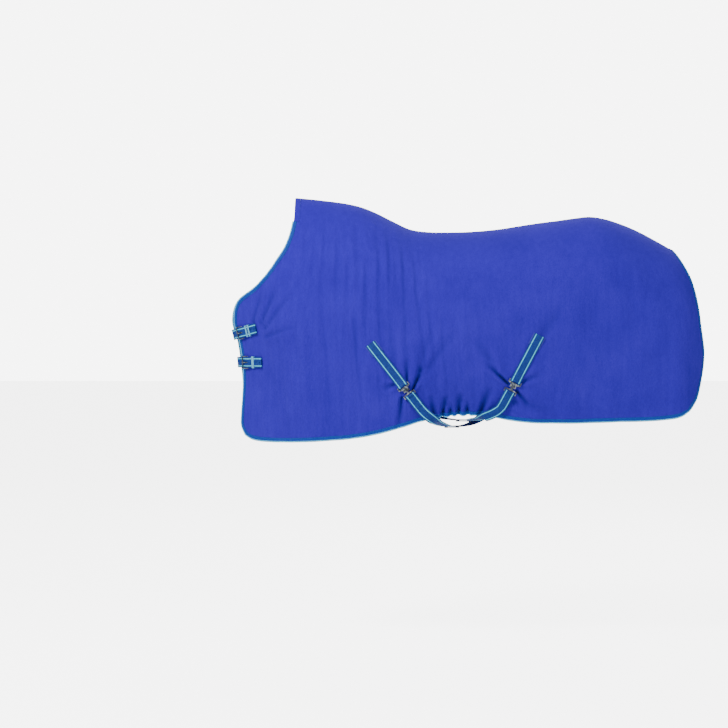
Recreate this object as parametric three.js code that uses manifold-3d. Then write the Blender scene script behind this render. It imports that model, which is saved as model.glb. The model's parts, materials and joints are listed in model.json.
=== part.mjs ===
// Fleece horse rug: two shaped panels joined along the back, bound and piped round the edge, closed at
// the chest by two webbing straps with tongue buckles and under the belly by two crossed surcingles
// with T-hook clasps. It is modelled as it hangs on the horse.
// Millimetres. +X towards the tail, -Y the horse's left (near) side, +Z up.
// The origin is on the middle plane, on top of the back seam at the withers.
import * as THREE from "three";
import { mergeVertices } from "three/addons/utils/BufferGeometryUtils.js";
import Module from "manifold-3d";

const wasm = await Module();
wasm.setup();

// ---------------------------------------------------------------- driving dimensions
// Rug body
const backLength = 1423; // withers to the top of the tail
const drop = 910; // withers to the lowest point of the hem
const barrelHalfWidth = 305; // middle plane to the widest point of the side
const frontEdgeOffset = 35; // middle plane to the left panel's front edge
const frontRun = 280; // length in which the chest widens from the front edge to the shoulder
const frontLap = 9; // the right panel's front edge lies this much further forward
const rearRun = 150; // length in which the rump closes behind the rear edge
const bellyTuck = 45; // how far the surcingles draw the hem in
const clothThick = 3;
const seamGap = 0.3; // between pieces that touch

// Edge trim
const bindingThick = 1;
const bindingWidth = 11;
const bindingGap = 1.5; // between the tape's legs and the cloth
const pipingRadius = 3;
const pipingStart = 86; // depth below the withers at which the binding and piping begin

// Inside pieces
const padThick = 5;
const tapeHalfWidth = 15;
const tapeThick = 1;

// Webbing
const webWidth = 40;
const webThick = 1.8;
const webLift = 0.6; // a strap above the cloth that it lies on
const patchThick = 1.2;
const patchMargin = 4; // a sewn patch shows this much round the strap's end

// Tongue buckles; their lengths run along the strap
const barRadius = 2;
const frameLength = 27; // heel bar to front bar, centre to centre
const frameClearance = 0.8; // strap edge to the frame's side bar
const frameCorner = 3.4;
const eyeRadius = barRadius + 0.3; // bore of the chape and of the prong's eye
const eyeWall = 1.6;
const keeperThick = 1.1;
const keeperClearance = 0.3;
const chestLift = 1.4; // chest pieces above the cloth
const heelHeight = chestLift + keeperThick + keeperClearance + eyeRadius + eyeWall;
const frontBarRise = 3; // the front bar stands this much higher than the heel bar
const prongWidth = 3.6;
const prongThick = 2.2;
const prongSlotWidth = 5.4;
const chapeWidth = webWidth - 2;
const chapeLength = 70;
const strapTip = 74; // heel bar to the strap's tip
const strapHolePitch = 20;
const firstHole = 26; // heel bar to the first spare hole behind it
const prongSlotLength = 19.5;
const strapHoleRadius = 2.5;
const cutThrough = 14; // long enough for a cut to pass right through the webbing

// T-hook clasps; their lengths run down the strap from the short strap's end
const plateThick = 3;
const plateBar = 5; // webbing bar
const plateSlot = 5; // webbing slot
const plateSlotWidth = webWidth + 2;
const plateSide = 4; // metal beside each webbing slot
const plateWidth = plateSlotWidth + 2 * plateSide;
const plateHeight = 5; // underside of the plates above the cloth
const eyeEndWidth = 24; // the hook eye narrows to this round its window
const windowWidth = 14;
const windowLength = 7;
const endBar = 5;
const stemLength = 4;
const neckWidth = 8;
const swivelLimit = 15; // degrees that the T-hook turns each way in its eye
const headWidth = 20;
const plateGap = 0.3; // between the two metal plates
const loopTail = 52; // sewn double webbing behind the T-hook
const swivelGap = 7; // free space in which the webbing bends beside the clasp

// Sliders
const sliderLength = 26;
const sliderBar = 5;
const sliderSide = 4;
const sliderThick = 2.4;
const sliderClearance = 0.9;
const railStep = 0.3; // the side rails stand this much proud of the bars

// ---------------------------------------------------------------- small helpers
const V = (x, y, z) => new THREE.Vector3(x, y, z);

// A smooth function through [value, result] pairs, flat beyond the ends.
function through(points) {
  const last = points.length - 1;
  const slope = (i) => {
    const [xa, ya] = points[Math.max(i - 1, 0)];
    const [xb, yb] = points[Math.min(i + 1, last)];
    return (yb - ya) / (xb - xa);
  };
  return (x) => {
    if (x <= points[0][0]) return points[0][1];
    if (x >= points[last][0]) return points[last][1];
    const i = points.findIndex(([px]) => px > x) - 1;
    const [x0, y0] = points[i];
    const [x1, y1] = points[i + 1];
    const h = x1 - x0;
    const t = (x - x0) / h;
    const m0 = slope(i) * h;
    const m1 = slope(i + 1) * h;
    const t2 = t * t;
    const t3 = t2 * t;
    return (2 * t3 - 3 * t2 + 1) * y0 + (t3 - 2 * t2 + t) * m0 + (3 * t2 - 2 * t3) * y1 + (t3 - t2) * m1;
  };
}

// A straight-segment function through [value, result] pairs.
function steps(points) {
  return (x) => {
    if (x <= points[0][0]) return points[0][1];
    const i = points.findIndex(([px]) => px >= x);
    if (i < 0) return points[points.length - 1][1];
    const [x0, y0] = points[i - 1];
    const [x1, y1] = points[i];
    return y0 + ((y1 - y0) * (x - x0)) / (x1 - x0);
  };
}

const smooth = (t) => THREE.MathUtils.smoothstep(t, 0, 1);

function geometryOf(vertices, triangles) {
  const geometry = new THREE.BufferGeometry();
  const numbers = vertices.flatMap((p) => [p.x, p.y, p.z]);
  geometry.setAttribute("position", new THREE.Float32BufferAttribute(numbers, 3));
  geometry.setIndex(triangles.flat());
  return geometry;
}

// Closed solid through rings of equally many points, with capped ends unless it closes on itself.
function loft(rings, closed = false, outline = null) {
  const n = rings[0].length;
  const count = rings.length;
  const triangles = [];
  const spans = closed ? count : count - 1;
  for (let i = 0; i < spans; i++) {
    const j = (i + 1) % count;
    for (let k = 0; k < n; k++) {
      const l = (k + 1) % n;
      triangles.push([i * n + k, i * n + l, j * n + l], [i * n + k, j * n + l, j * n + k]);
    }
  }
  if (!closed) {
    const flat = outline ?? rings[0].map((_, k) => new THREE.Vector2(...circlePoint(k, n)));
    const cap = THREE.ShapeUtils.triangulateShape(flat, []);
    const end = (count - 1) * n;
    for (const [a, b, c] of cap) triangles.push([a, c, b], [end + a, end + b, end + c]);
  }
  return facingOut(geometryOf(rings.flat(), triangles));
}

const circlePoint = (k, n) => [Math.cos((2 * Math.PI * k) / n), Math.sin((2 * Math.PI * k) / n)];

function signedVolume(geometry) {
  const p = geometry.getAttribute("position");
  const index = geometry.index;
  const a = V(0, 0, 0);
  const b = V(0, 0, 0);
  const c = V(0, 0, 0);
  let volume = 0;
  for (let i = 0; i < index.count; i += 3) {
    a.fromBufferAttribute(p, index.getX(i));
    b.fromBufferAttribute(p, index.getX(i + 1));
    c.fromBufferAttribute(p, index.getX(i + 2));
    volume += a.dot(b.cross(c)) / 6;
  }
  return volume;
}

function facingOut(geometry) {
  if (signedVolume(geometry) > 0) return geometry;
  const index = geometry.index.array;
  for (let i = 0; i < index.length; i += 3) {
    [index[i + 1], index[i + 2]] = [index[i + 2], index[i + 1]];
  }
  return geometry;
}

function mirrored(geometry) {
  return facingOut(geometry.clone().applyMatrix4(new THREE.Matrix4().makeScale(1, -1, 1)));
}

function solidOf(geometry) {
  const bare = geometry.clone();
  for (const name of Object.keys(bare.attributes).filter((key) => key !== "position")) {
    bare.deleteAttribute(name);
  }
  const merged = facingOut(mergeVertices(bare, 1e-4));
  const mesh = { numProp: 3, vertProperties: merged.attributes.position.array };
  mesh.triVerts = new Uint32Array(merged.index.array);
  return new wasm.Manifold(new wasm.Mesh(mesh));
}

function geometryFrom(solid) {
  const mesh = solid.getMesh();
  const geometry = new THREE.BufferGeometry();
  geometry.setAttribute("position", new THREE.BufferAttribute(mesh.vertProperties, 3));
  geometry.setIndex(new THREE.BufferAttribute(mesh.triVerts, 1));
  return geometry;
}

const join = (first, ...rest) =>
  geometryFrom(rest.reduce((sum, g) => sum.add(solidOf(g)), solidOf(first)));
const cut = (first, ...rest) =>
  geometryFrom(rest.reduce((sum, g) => sum.subtract(solidOf(g)), solidOf(first)));

function box(size, centre, matrix) {
  const geometry = new THREE.BoxGeometry(...size);
  geometry.translate(...centre);
  return matrix ? geometry.applyMatrix4(matrix) : geometry;
}

// A flat outline with holes, raised from height low to height high in its own third axis.
function plate(outline, holes, low, high) {
  const shape = new THREE.Shape(outline.map(([a, b]) => new THREE.Vector2(a, b)));
  for (const hole of holes) {
    shape.holes.push(new THREE.Path(hole.map(([a, b]) => new THREE.Vector2(a, b))));
  }
  const geometry = new THREE.ExtrudeGeometry(shape, { depth: high - low, bevelEnabled: false });
  return geometry.translate(0, 0, low);
}

const rectangle = (a0, a1, b0, b1) => [[a0, b0], [a1, b0], [a1, b1], [a0, b1]];

// ---------------------------------------------------------------- the rug's shape
// Side outline: X as a share of the back length and Z as a share of the drop.
const side = ([x, z]) => [x * backLength, z * drop];

const topline = through(
  [
    [-0.5, 0.12], [-0.2, 0.03], [0, 0], [0.07, -0.011], [0.14, -0.026], [0.182, -0.043], [0.224, -0.071],
    [0.267, -0.105], [0.31, -0.134], [0.36, -0.143], [0.46, -0.142], [0.545, -0.13], [0.63, -0.109],
    [0.715, -0.092], [0.78, -0.079], [0.822, -0.088], [0.865, -0.109], [0.908, -0.137], [0.951, -0.172],
    [1, -0.215], [1.1, -0.3],
  ].map(side),
);

const outlineCurve = (points) =>
  new THREE.CatmullRomCurve3(points.map(side).map(([x, z]) => V(x, 0, z)), false, "centripetal");

const necklinePoints = [
  [0, 0], [-0.004, -0.11], [-0.022, -0.202], [-0.046, -0.263], [-0.088, -0.349], [-0.124, -0.4],
  [-0.153, -0.438], [-0.166, -0.485],
];
const frontPoints = [
  [-0.157, -0.543], [-0.146, -0.615], [-0.139, -0.7], [-0.138, -0.79], [-0.142, -0.89], [-0.142, -0.955],
  [-0.133, -0.983],
];
const hemPoints = [
  [-0.133, -0.983], [-0.112, -1], [0.06, -0.997], [0.16, -0.982], [0.245, -0.955], [0.32, -0.918],
  [0.4, -0.893], [0.46, -0.889], [0.52, -0.896], [0.58, -0.914], [0.7, -0.921], [0.82, -0.917],
  [0.96, -0.909], [1.005, -0.897], [1.028, -0.875],
];
const rearPoints = [
  [1, -0.215], [1.026, -0.285], [1.045, -0.345], [1.056, -0.434], [1.062, -0.545], [1.071, -0.64],
  [1.071, -0.7], [1.063, -0.77], [1.048, -0.835], [1.028, -0.875],
];

const withersHalfWidth = 0.59; // the upper widths below are shares of the barrel's half width
const upperWidth = through([[-0.2, 0.36], [-0.1, 0.46], [0, withersHalfWidth], [0.1, 0.74], [0.2, 0.88],
  [0.32, 0.95], [0.5, 1], [0.63, 1], [0.77, 0.97], [0.88, 0.92], [1, 0.83], [1.1, 0.74]]);
const lowerWidth = through([[-0.2, 0.66], [-0.1, 0.7], [0, 0.76], [0.1, 0.84], [0.2, 0.92],
  [0.32, 0.97], [0.5, 1], [0.63, 1], [0.77, 0.97], [0.88, 0.92], [1, 0.83], [1.1, 0.74]]);
const shoulderTop = 0.24 * drop; // the wide shoulder begins here and is full at shoulderFull
const shoulderFull = 0.6 * drop;
const roundDepth = through([[-0.2, 0.46], [0, 0.46], [0.25, 0.44], [0.5, 0.4], [0.8, 0.38], [1.1, 0.4]]);

// Front line of the closed chest at height z.
const frontLine = through(
  [
    [-1.1, -0.142], [-0.89, -0.142], [-0.79, -0.138], [-0.7, -0.139], [-0.63, -0.144], [-0.57, -0.152],
    [-0.5, -0.164], [-0.443, -0.175], [-0.4, -0.186], [-0.349, -0.206], [-0.263, -0.25], [-0.15, -0.31],
    [0, -0.4], [0.2, -0.5],
  ].map(([z, x]) => [z * drop, x * backLength]),
);
const rearLine = 1.098 * backLength;
const tuckCentre = 0.42 * backLength;
const tuckLength = 0.12 * backLength;
const tuckTop = 0.7 * drop;
const hangIn = 0.06; // how strongly the side hangs inwards below its widest line

// Half width of the rug at X and at the round parameter s: 0 on the back seam, a quarter turn at the side.
function surfacePoint(x, s, lift = 0) {
  const reach = Math.abs(s);
  const quarter = Math.PI / 2;
  const depth = reach <= quarter ? 1 - Math.cos(reach) : 1 + reach - quarter;
  const z = topline(x) - roundDepth(x / backLength) * drop * depth;
  const spread = smooth((-z - shoulderTop) / (shoulderFull - shoulderTop));
  const share = THREE.MathUtils.lerp(upperWidth(x / backLength), lowerWidth(x / backLength), spread);
  const hang = reach <= quarter ? Math.sin(reach) : 1 - hangIn * (reach - quarter) ** 2;
  const full = barrelHalfWidth * share * hang;
  const ahead = x - frontLine(z);
  const edge = Math.min(frontEdgeOffset, full);
  const slope = (quarter * (barrelHalfWidth * share - frontEdgeOffset)) / frontRun;
  const bow = frontEdgeOffset / (2 * slope);
  let half = edge * Math.sqrt(Math.max(0, (ahead + bow) / bow));
  if (ahead >= 0) half = edge + (full - edge) * Math.sin(quarter * Math.min(1, ahead / frontRun));
  const behind = THREE.MathUtils.clamp((rearLine - x) / rearRun, 0, 1);
  half *= Math.sqrt(1 - (1 - behind) ** 2);
  const tuck = Math.exp(-(((x - tuckCentre) / tuckLength) ** 2)) * smooth((-z - tuckTop) / (drop - tuckTop));
  half -= bellyTuck * tuck;
  const point = V(x, -half * Math.sign(s || 1) * (s === 0 ? 0 : 1), z);
  return lift === 0 ? point : point.addScaledVector(surfaceNormal(x, s), lift);
}

function surfaceNormal(x, s) {
  const dx = surfacePoint(x + 0.5, s).sub(surfacePoint(x - 0.5, s));
  const ds = surfacePoint(x, s + 0.002).sub(surfacePoint(x, s - 0.002));
  return ds.cross(dx).normalize();
}

// The round parameter of the side point (x, z).
function roundAt(x, z) {
  const depth = Math.max(0, topline(x) - z) / (roundDepth(x / backLength) * drop);
  return depth <= 1 ? Math.acos(1 - depth) : Math.PI / 2 + depth - 1;
}

const onSide = (x, z, lift = 0) => surfacePoint(x, roundAt(x, z), lift);
const normalOnSide = (x, z) => surfaceNormal(x, roundAt(x, z));

// ---------------------------------------------------------------- body panels
const columns = 30;
const rows = 20;
const evenColumns = 0.12; // share of plain equal spacing; the rest crowds towards both ends
const evenRows = 0.4;
const ridgeCrowding = 1.6; // rows lie this much closer together towards the back seam
function spaced(k, count, even) {
  return even * (k / count) + ((1 - even) / 2) * (1 - Math.cos((Math.PI * k) / count));
}
const columnShare = (i) => spaced(i, columns, evenColumns);
const rowShare = (j) => spaced(j, rows, evenRows) ** ridgeCrowding;

// The lap grows to full below lapTop and fades away below lapBottom, as shares of the drop.
const lapTop = 0.3;
const lapGrow = 0.12;
const lapBottom = 0.7;
const lapFade = 0.15;

// Side points of a panel between its four boundary lines; lap moves the front edge forward.
function panelGrid(lap) {
  const lapAt = (z) => smooth((-z - lapTop) / lapGrow) * (1 - smooth((-z - lapBottom) / lapFade));
  const shift = ([x, z]) => [x - (lap / backLength) * lapAt(z), z];
  const front = outlineCurve([...necklinePoints, ...frontPoints].map(shift));
  const hem = outlineCurve(hemPoints);
  const rear = outlineCurve(rearPoints);
  const corners = [front.getPointAt(0), rear.getPointAt(0), hem.getPointAt(0), hem.getPointAt(1)];
  const grid = [];
  for (let i = 0; i <= columns; i++) {
    const u = columnShare(i);
    const x = u * backLength;
    const top = V(x, 0, topline(x));
    const bottom = hem.getPointAt(u);
    grid.push([]);
    for (let j = 0; j <= rows; j++) {
      const v = rowShare(j);
      const point = top.clone().multiplyScalar(1 - v).addScaledVector(bottom, v);
      point.addScaledVector(front.getPointAt(v), 1 - u).addScaledVector(rear.getPointAt(v), u);
      point.addScaledVector(corners[0], -(1 - u) * (1 - v)).addScaledVector(corners[1], -u * (1 - v));
      point.addScaledVector(corners[2], -(1 - u) * v).addScaledVector(corners[3], -u * v);
      const s = j === 0 ? 0 : roundAt(point.x, point.z);
      grid[i].push({ x: point.x, s });
    }
  }
  return grid;
}

// Closed sheet between two offsets of a grid of surface places.
function sheet(places, outer, inner, shiftY = 0) {
  const lifted = ({ x, s }, lift) => surfacePoint(x, s, lift).add(V(0, shiftY, 0));
  const layer = (lift) => places.map((column) => column.map((place) => lifted(place, lift)));
  return slab(layer(outer), layer(inner));
}

// Closed slab between two grids of points.
function slab(outer, inner) {
  const m = outer.length;
  const n = outer[0].length;
  const vertices = [...outer.flat(), ...inner.flat()];
  const at = (layer, i, j) => layer * m * n + i * n + j;
  const triangles = [];
  const quad = (a, b, c, d) => triangles.push([a, b, c], [a, c, d]);
  for (let i = 0; i + 1 < m; i++) {
    for (let j = 0; j + 1 < n; j++) {
      quad(at(0, i, j), at(0, i + 1, j), at(0, i + 1, j + 1), at(0, i, j + 1));
      quad(at(1, i, j), at(1, i, j + 1), at(1, i + 1, j + 1), at(1, i + 1, j));
    }
    quad(at(0, i, 0), at(1, i, 0), at(1, i + 1, 0), at(0, i + 1, 0));
    quad(at(0, i, n - 1), at(0, i + 1, n - 1), at(1, i + 1, n - 1), at(1, i, n - 1));
  }
  for (let j = 0; j + 1 < n; j++) {
    quad(at(0, 0, j), at(0, 0, j + 1), at(1, 0, j + 1), at(1, 0, j));
    quad(at(0, m - 1, j), at(1, m - 1, j), at(1, m - 1, j + 1), at(0, m - 1, j + 1));
  }
  return facingOut(geometryOf(vertices, triangles));
}

const leftGrid = panelGrid(0);
const rightGrid = panelGrid(frontLap);
const leftPanel = sheet(leftGrid, 0, -clothThick, -seamGap / 2);
const rightPanel = mirrored(sheet(rightGrid, 0, -clothThick, -seamGap / 2));

// ---------------------------------------------------------------- edge trim
// Stations round a panel's free edge: from below the withers, down the front, along the hem and up the rear.
function edgeStations(grid) {
  const places = grid[0].slice(0, rows).filter(({ x, s }) => surfacePoint(x, s).z < -pipingStart);
  for (let i = 0; i <= columns; i++) places.push(grid[i][rows]);
  for (let j = rows - 1; j >= 1; j--) places.push(grid[columns][j]);
  const points = places.map(({ x, s }) => surfacePoint(x, s, -clothThick / 2).add(V(0, -seamGap / 2, 0)));
  return points.map((point, k) => {
    const before = points[Math.max(k - 1, 0)];
    const after = points[Math.min(k + 1, points.length - 1)];
    const normal = surfaceNormal(places[k].x, places[k].s);
    const along = after.clone().sub(before);
    along.addScaledVector(normal, -along.dot(normal)).normalize();
    return { point, normal, inward: along.cross(normal).negate(), place: places[k] };
  });
}

// A folded tape: outline points are [inward, outward from the middle of the cloth].
function edgeTrim(grid, outline) {
  const rings = edgeStations(grid).map(({ point, normal, inward, place }) => {
    const z = surfacePoint(place.x, place.s).z;
    return outline.map(([a, n]) => {
      if (a <= 0) return point.clone().addScaledVector(inward, a).addScaledVector(normal, n);
      return onSide(place.x + a * inward.x, z + a * inward.z, n - clothThick / 2);
    });
  });
  return loft(rings, false, outline.map(([a, n]) => new THREE.Vector2(a, n)));
}

const half = clothThick / 2;
const tapeOut = half + bindingGap;
const tapeIn = -half - bindingGap;
const bindingOutline = [
  [bindingWidth, tapeOut + bindingThick], [-seamGap - bindingThick, tapeOut + bindingThick],
  [-seamGap - bindingThick, tapeIn - bindingThick], [bindingWidth, tapeIn - bindingThick],
  [bindingWidth, tapeIn], [bindingWidth / 2, tapeIn], [-seamGap, tapeIn],
  [-seamGap, tapeOut], [bindingWidth, tapeOut],
];
const pipingCentre = -2 * seamGap - bindingThick - pipingRadius;
const pipingSides = 6;
const pipingOutline = Array.from({ length: pipingSides }, (_, k) => circlePoint(k, pipingSides))
  .map(([a, n]) => [pipingCentre + pipingRadius * a, pipingRadius * n]);

const group = new THREE.Group();
group.userData.joints = {}; // where and about what each moving piece moves
const finish = {
  fleece: { color: 0x3a4cbb, roughness: 0.95, metalness: 0 },
  binding: { color: 0x2060ae, roughness: 0.8, metalness: 0 },
  piping: { color: 0x6cb4dc, roughness: 0.7, metalness: 0 },
  webbing: { color: 0x1b5ca8, roughness: 0.75, metalness: 0 },
  keeper: { color: 0x7cc6e6, roughness: 0.6, metalness: 0 },
  metal: { color: 0x5c5a58, roughness: 0.35, metalness: 1 },
};
function add(name, geometry, look) {
  const mesh = new THREE.Mesh(geometry, new THREE.MeshStandardMaterial(finish[look]));
  mesh.name = name;
  group.add(mesh);
}
add("left_body_panel", leftPanel, "fleece");
add("right_body_panel", rightPanel, "fleece");
add("left_edge_binding", edgeTrim(leftGrid, bindingOutline), "binding");
add("right_edge_binding", mirrored(edgeTrim(rightGrid, bindingOutline)), "binding");
add("left_edge_piping", edgeTrim(leftGrid, pipingOutline), "piping");
add("right_edge_piping", mirrored(edgeTrim(rightGrid, pipingOutline)), "piping");

// ---------------------------------------------------------------- inside pieces
// The pad and the tape lie under both panels and use the panels' own stations, so their facets match.
const opposite = ({ x, s }) => ({ x, s: -s });
const underside = -clothThick - seamGap;
const padStart = 3;
const padEnd = 9;
const padRows = 6;
const padPlaces = leftGrid.slice(padStart, padEnd + 1).map((column) => {
  const near = column.slice(0, padRows);
  return [...near.slice(1).reverse().map(opposite), ...near];
});
add("withers_pad", sheet(padPlaces, underside, underside - padThick), "fleece");

const tapeLayer = (lift) =>
  leftGrid.slice(padEnd + 1, columns + 1).map(([ridge, beside]) => {
    const middle = surfacePoint(ridge.x, 0, lift);
    const edge = surfacePoint(beside.x, beside.s, lift);
    edge.sub(middle).multiplyScalar(tapeHalfWidth / Math.abs(edge.y)).add(middle);
    return [edge.clone().multiply(V(1, -1, 1)), middle, edge];
  });
const tapeTop = underside - seamGap;
add("back_seam_tape", slab(tapeLayer(tapeTop), tapeLayer(tapeTop - tapeThick)), "binding");

// ---------------------------------------------------------------- webbing on a surface
// A route is a line on the rug; at(t) gives its point, its direction, the way out and the way across.
function frameAt(route, t, lift = 0) {
  const { point, along, out, across } = route.at(t);
  const matrix = new THREE.Matrix4().makeBasis(along, across, out);
  return matrix.setPosition(point.clone().addScaledVector(out, lift));
}

// Pieces that stay flat across the strap.
const flatOffset = (at) => (t, b, n) => {
  const { point, across, out } = at(t);
  return point.clone().addScaledVector(across, b).addScaledVector(out, n);
};

// A band along a route between t0 and t1; low and high give its faces above the cloth at t.
function band(route, t0, t1, width, low, high, count, sides = 1) {
  const bottom = typeof low === "number" ? () => low : low;
  const top = typeof high === "number" ? () => high : high;
  const rings = [];
  for (let i = 0; i <= count; i++) {
    const t = t0 + ((t1 - t0) * i) / count;
    const ring = [];
    for (let k = 0; k <= sides; k++) ring.push(route.offset(t, (k / sides - 0.5) * width, bottom(t)));
    for (let k = sides; k >= 0; k--) ring.push(route.offset(t, (k / sides - 0.5) * width, top(t)));
    rings.push(ring);
  }
  const flat = [];
  for (let k = 0; k <= sides; k++) flat.push(new THREE.Vector2(k, 0));
  for (let k = sides; k >= 0; k--) flat.push(new THREE.Vector2(k, 1));
  return loft(rings, false, flat);
}

// Straight in side view, from the clasp centre; t runs down the strap.
function sideRoute(clasp, top) {
  const end = V(clasp[0], 0, clasp[1]);
  const way = end.clone().sub(V(top[0], 0, top[1]));
  const sideLength = way.length();
  way.normalize();
  const place = (q) => onSide(end.x + way.x * q, end.z + way.z * q);
  const sideAt = arcTable(place, -sideLength, clasp[2]);
  const at = (t) => {
    const q = sideAt(t);
    const point = place(q);
    const along = place(q + 1).sub(place(q - 1)).normalize();
    const out = normalOnSide(point.x, point.z);
    along.addScaledVector(out, -along.dot(out)).normalize();
    return { point, along, out, across: out.clone().cross(along) };
  };
  const offset = (t, b, n) => {
    const { point, across } = at(t);
    const x = point.x + b * across.x;
    const z = point.z + b * across.z;
    return onSide(x, z).addScaledVector(normalOnSide(x, z), n);
  };
  return { at, offset, top: sideAt.start };
}

// Arc length along place(q), measured from q = 0: a function that returns q for a length.
function arcTable(place, from, to) {
  const table = [];
  const step = 1;
  let length = 0;
  let previous = place(0);
  for (let q = 0; q > from - step; q -= step) {
    const point = place(q);
    length -= point.distanceTo(previous);
    previous = point;
    table.unshift([length, q]);
  }
  const start = table[0][0];
  length = 0;
  previous = place(0);
  for (let q = step; q < to + step; q += step) {
    const point = place(q);
    length += point.distanceTo(previous);
    previous = point;
    table.push([length, q]);
  }
  return Object.assign(steps(table), { start });
}

// ---------------------------------------------------------------- chest fastenings
const halvings = 40; // enough to find a place to far below a thousandth of a millimetre

// The closed chest at distance y from the middle plane (left negative) and height z.
function chestPoint(y, z) {
  let low = frontLine(z) - frontEdgeOffset;
  let high = frontLine(z) + frontRun;
  for (let k = 0; k < halvings; k++) {
    const middle = (low + high) / 2;
    const beyond = -onSide(middle, z).y > Math.abs(y);
    low = beyond ? low : middle;
    high = beyond ? middle : high;
  }
  return V(high, y, z);
}

const heelInset = 22; // the heel bar lies this far behind the left panel's front edge
const sewnEnd = -185; // the chest strap's sewn end on the right panel
const sewnLength = 55;

// A strap's route round the chest: t = 0 at the heel bar, growing towards the strap's tip on the left.
function chestRoute(height, rise) {
  const easing = 20; // the band turns smoothly at the middle of the chest
  const heelY = -(frontEdgeOffset + heelInset);
  const centre = (q) => {
    const y = heelY - q;
    return chestPoint(y, height + rise * (Math.hypot(y, easing) - easing));
  };
  const spare = 50;
  const sideAt = arcTable(centre, sewnEnd - spare, strapTip + spare);
  const at = (t) => {
    const q = sideAt(t);
    const point = centre(q);
    const along = centre(q + 1).sub(centre(q - 1)).normalize();
    const over = chestPoint(point.y, point.z + 1).sub(chestPoint(point.y, point.z - 1));
    const out = along.clone().cross(over).normalize();
    if (out.x > 0) out.negate();
    return { point, along, out, across: out.clone().cross(along) };
  };
  return { at, offset: flatOffset(at) };
}

// Side profile pieces of a fastening are drawn as [t, height] and raised across the strap.
// The basis turns that drawing into the strap's own frame: t along it, the height outwards.
const profileBasis = new THREE.Matrix4().makeBasis(V(1, 0, 0), V(0, 0, 1), V(0, -1, 0));
function profile(outline, holes, width, matrix) {
  return plate(outline, holes, -width / 2, width / 2).applyMatrix4(profileBasis).applyMatrix4(matrix);
}

function circle(t, h, radius, sides) {
  const points = Array.from({ length: sides }, (_, k) => circlePoint(k, sides));
  return points.map(([a, b]) => [t + radius * a, h + radius * b]);
}

// A round bar bent into a closed rounded rectangle in the plane of the first two axes.
function wireFrame(t0, t1, halfWidth, corner, radius, matrix) {
  const cornerSteps = 3;
  const sides = 8;
  const rings = [];
  const centres = [
    [t1 - corner, halfWidth - corner, 0], [t0 + corner, halfWidth - corner, 1],
    [t0 + corner, corner - halfWidth, 2], [t1 - corner, corner - halfWidth, 3],
  ];
  for (const [t, b, quarter] of centres) {
    for (let k = 0; k <= cornerSteps; k++) {
      const angle = (Math.PI / 2) * (quarter + k / cornerSteps);
      const away = V(Math.cos(angle), Math.sin(angle), 0);
      const middle = V(t, b, 0).addScaledVector(away, corner);
      const ring = Array.from({ length: sides }, (_, m) => circlePoint(m, sides)).map(([c, d]) =>
        middle.clone().addScaledVector(away, radius * c).add(V(0, 0, radius * d)));
      rings.push(ring);
    }
  }
  return loft(rings, true).applyMatrix4(matrix);
}

const eyeOuter = eyeRadius + eyeWall;
const chapeTop = 2 * eyeWall; // thickness of the doubled chape
const chapeLow = chestLift + keeperThick + keeperClearance;
const barRoom = 1.6; // between the strap and the front bar that it passes under
const strapOverHeel = heelHeight + eyeOuter + seamGap;
const strapUnderFront = heelHeight + frontBarRise - barRadius - webThick - barRoom;
const strapOnChape = chapeLow + chapeTop + seamGap;
const strapOnPatch = chestLift + patchThick + seamGap;
const strapOnBinding = bindingGap + bindingThick + 2.3;
const strapLow = steps([
  [sewnEnd, strapOnPatch], [-118, strapOnPatch], [-98, strapOnBinding], [-48, strapOnBinding],
  [-frameLength, strapUnderFront], [0, strapOverHeel], [barRadius * 2, strapOverHeel],
  [13.5, strapOnChape], [strapTip, strapOnChape],
]);

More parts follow.
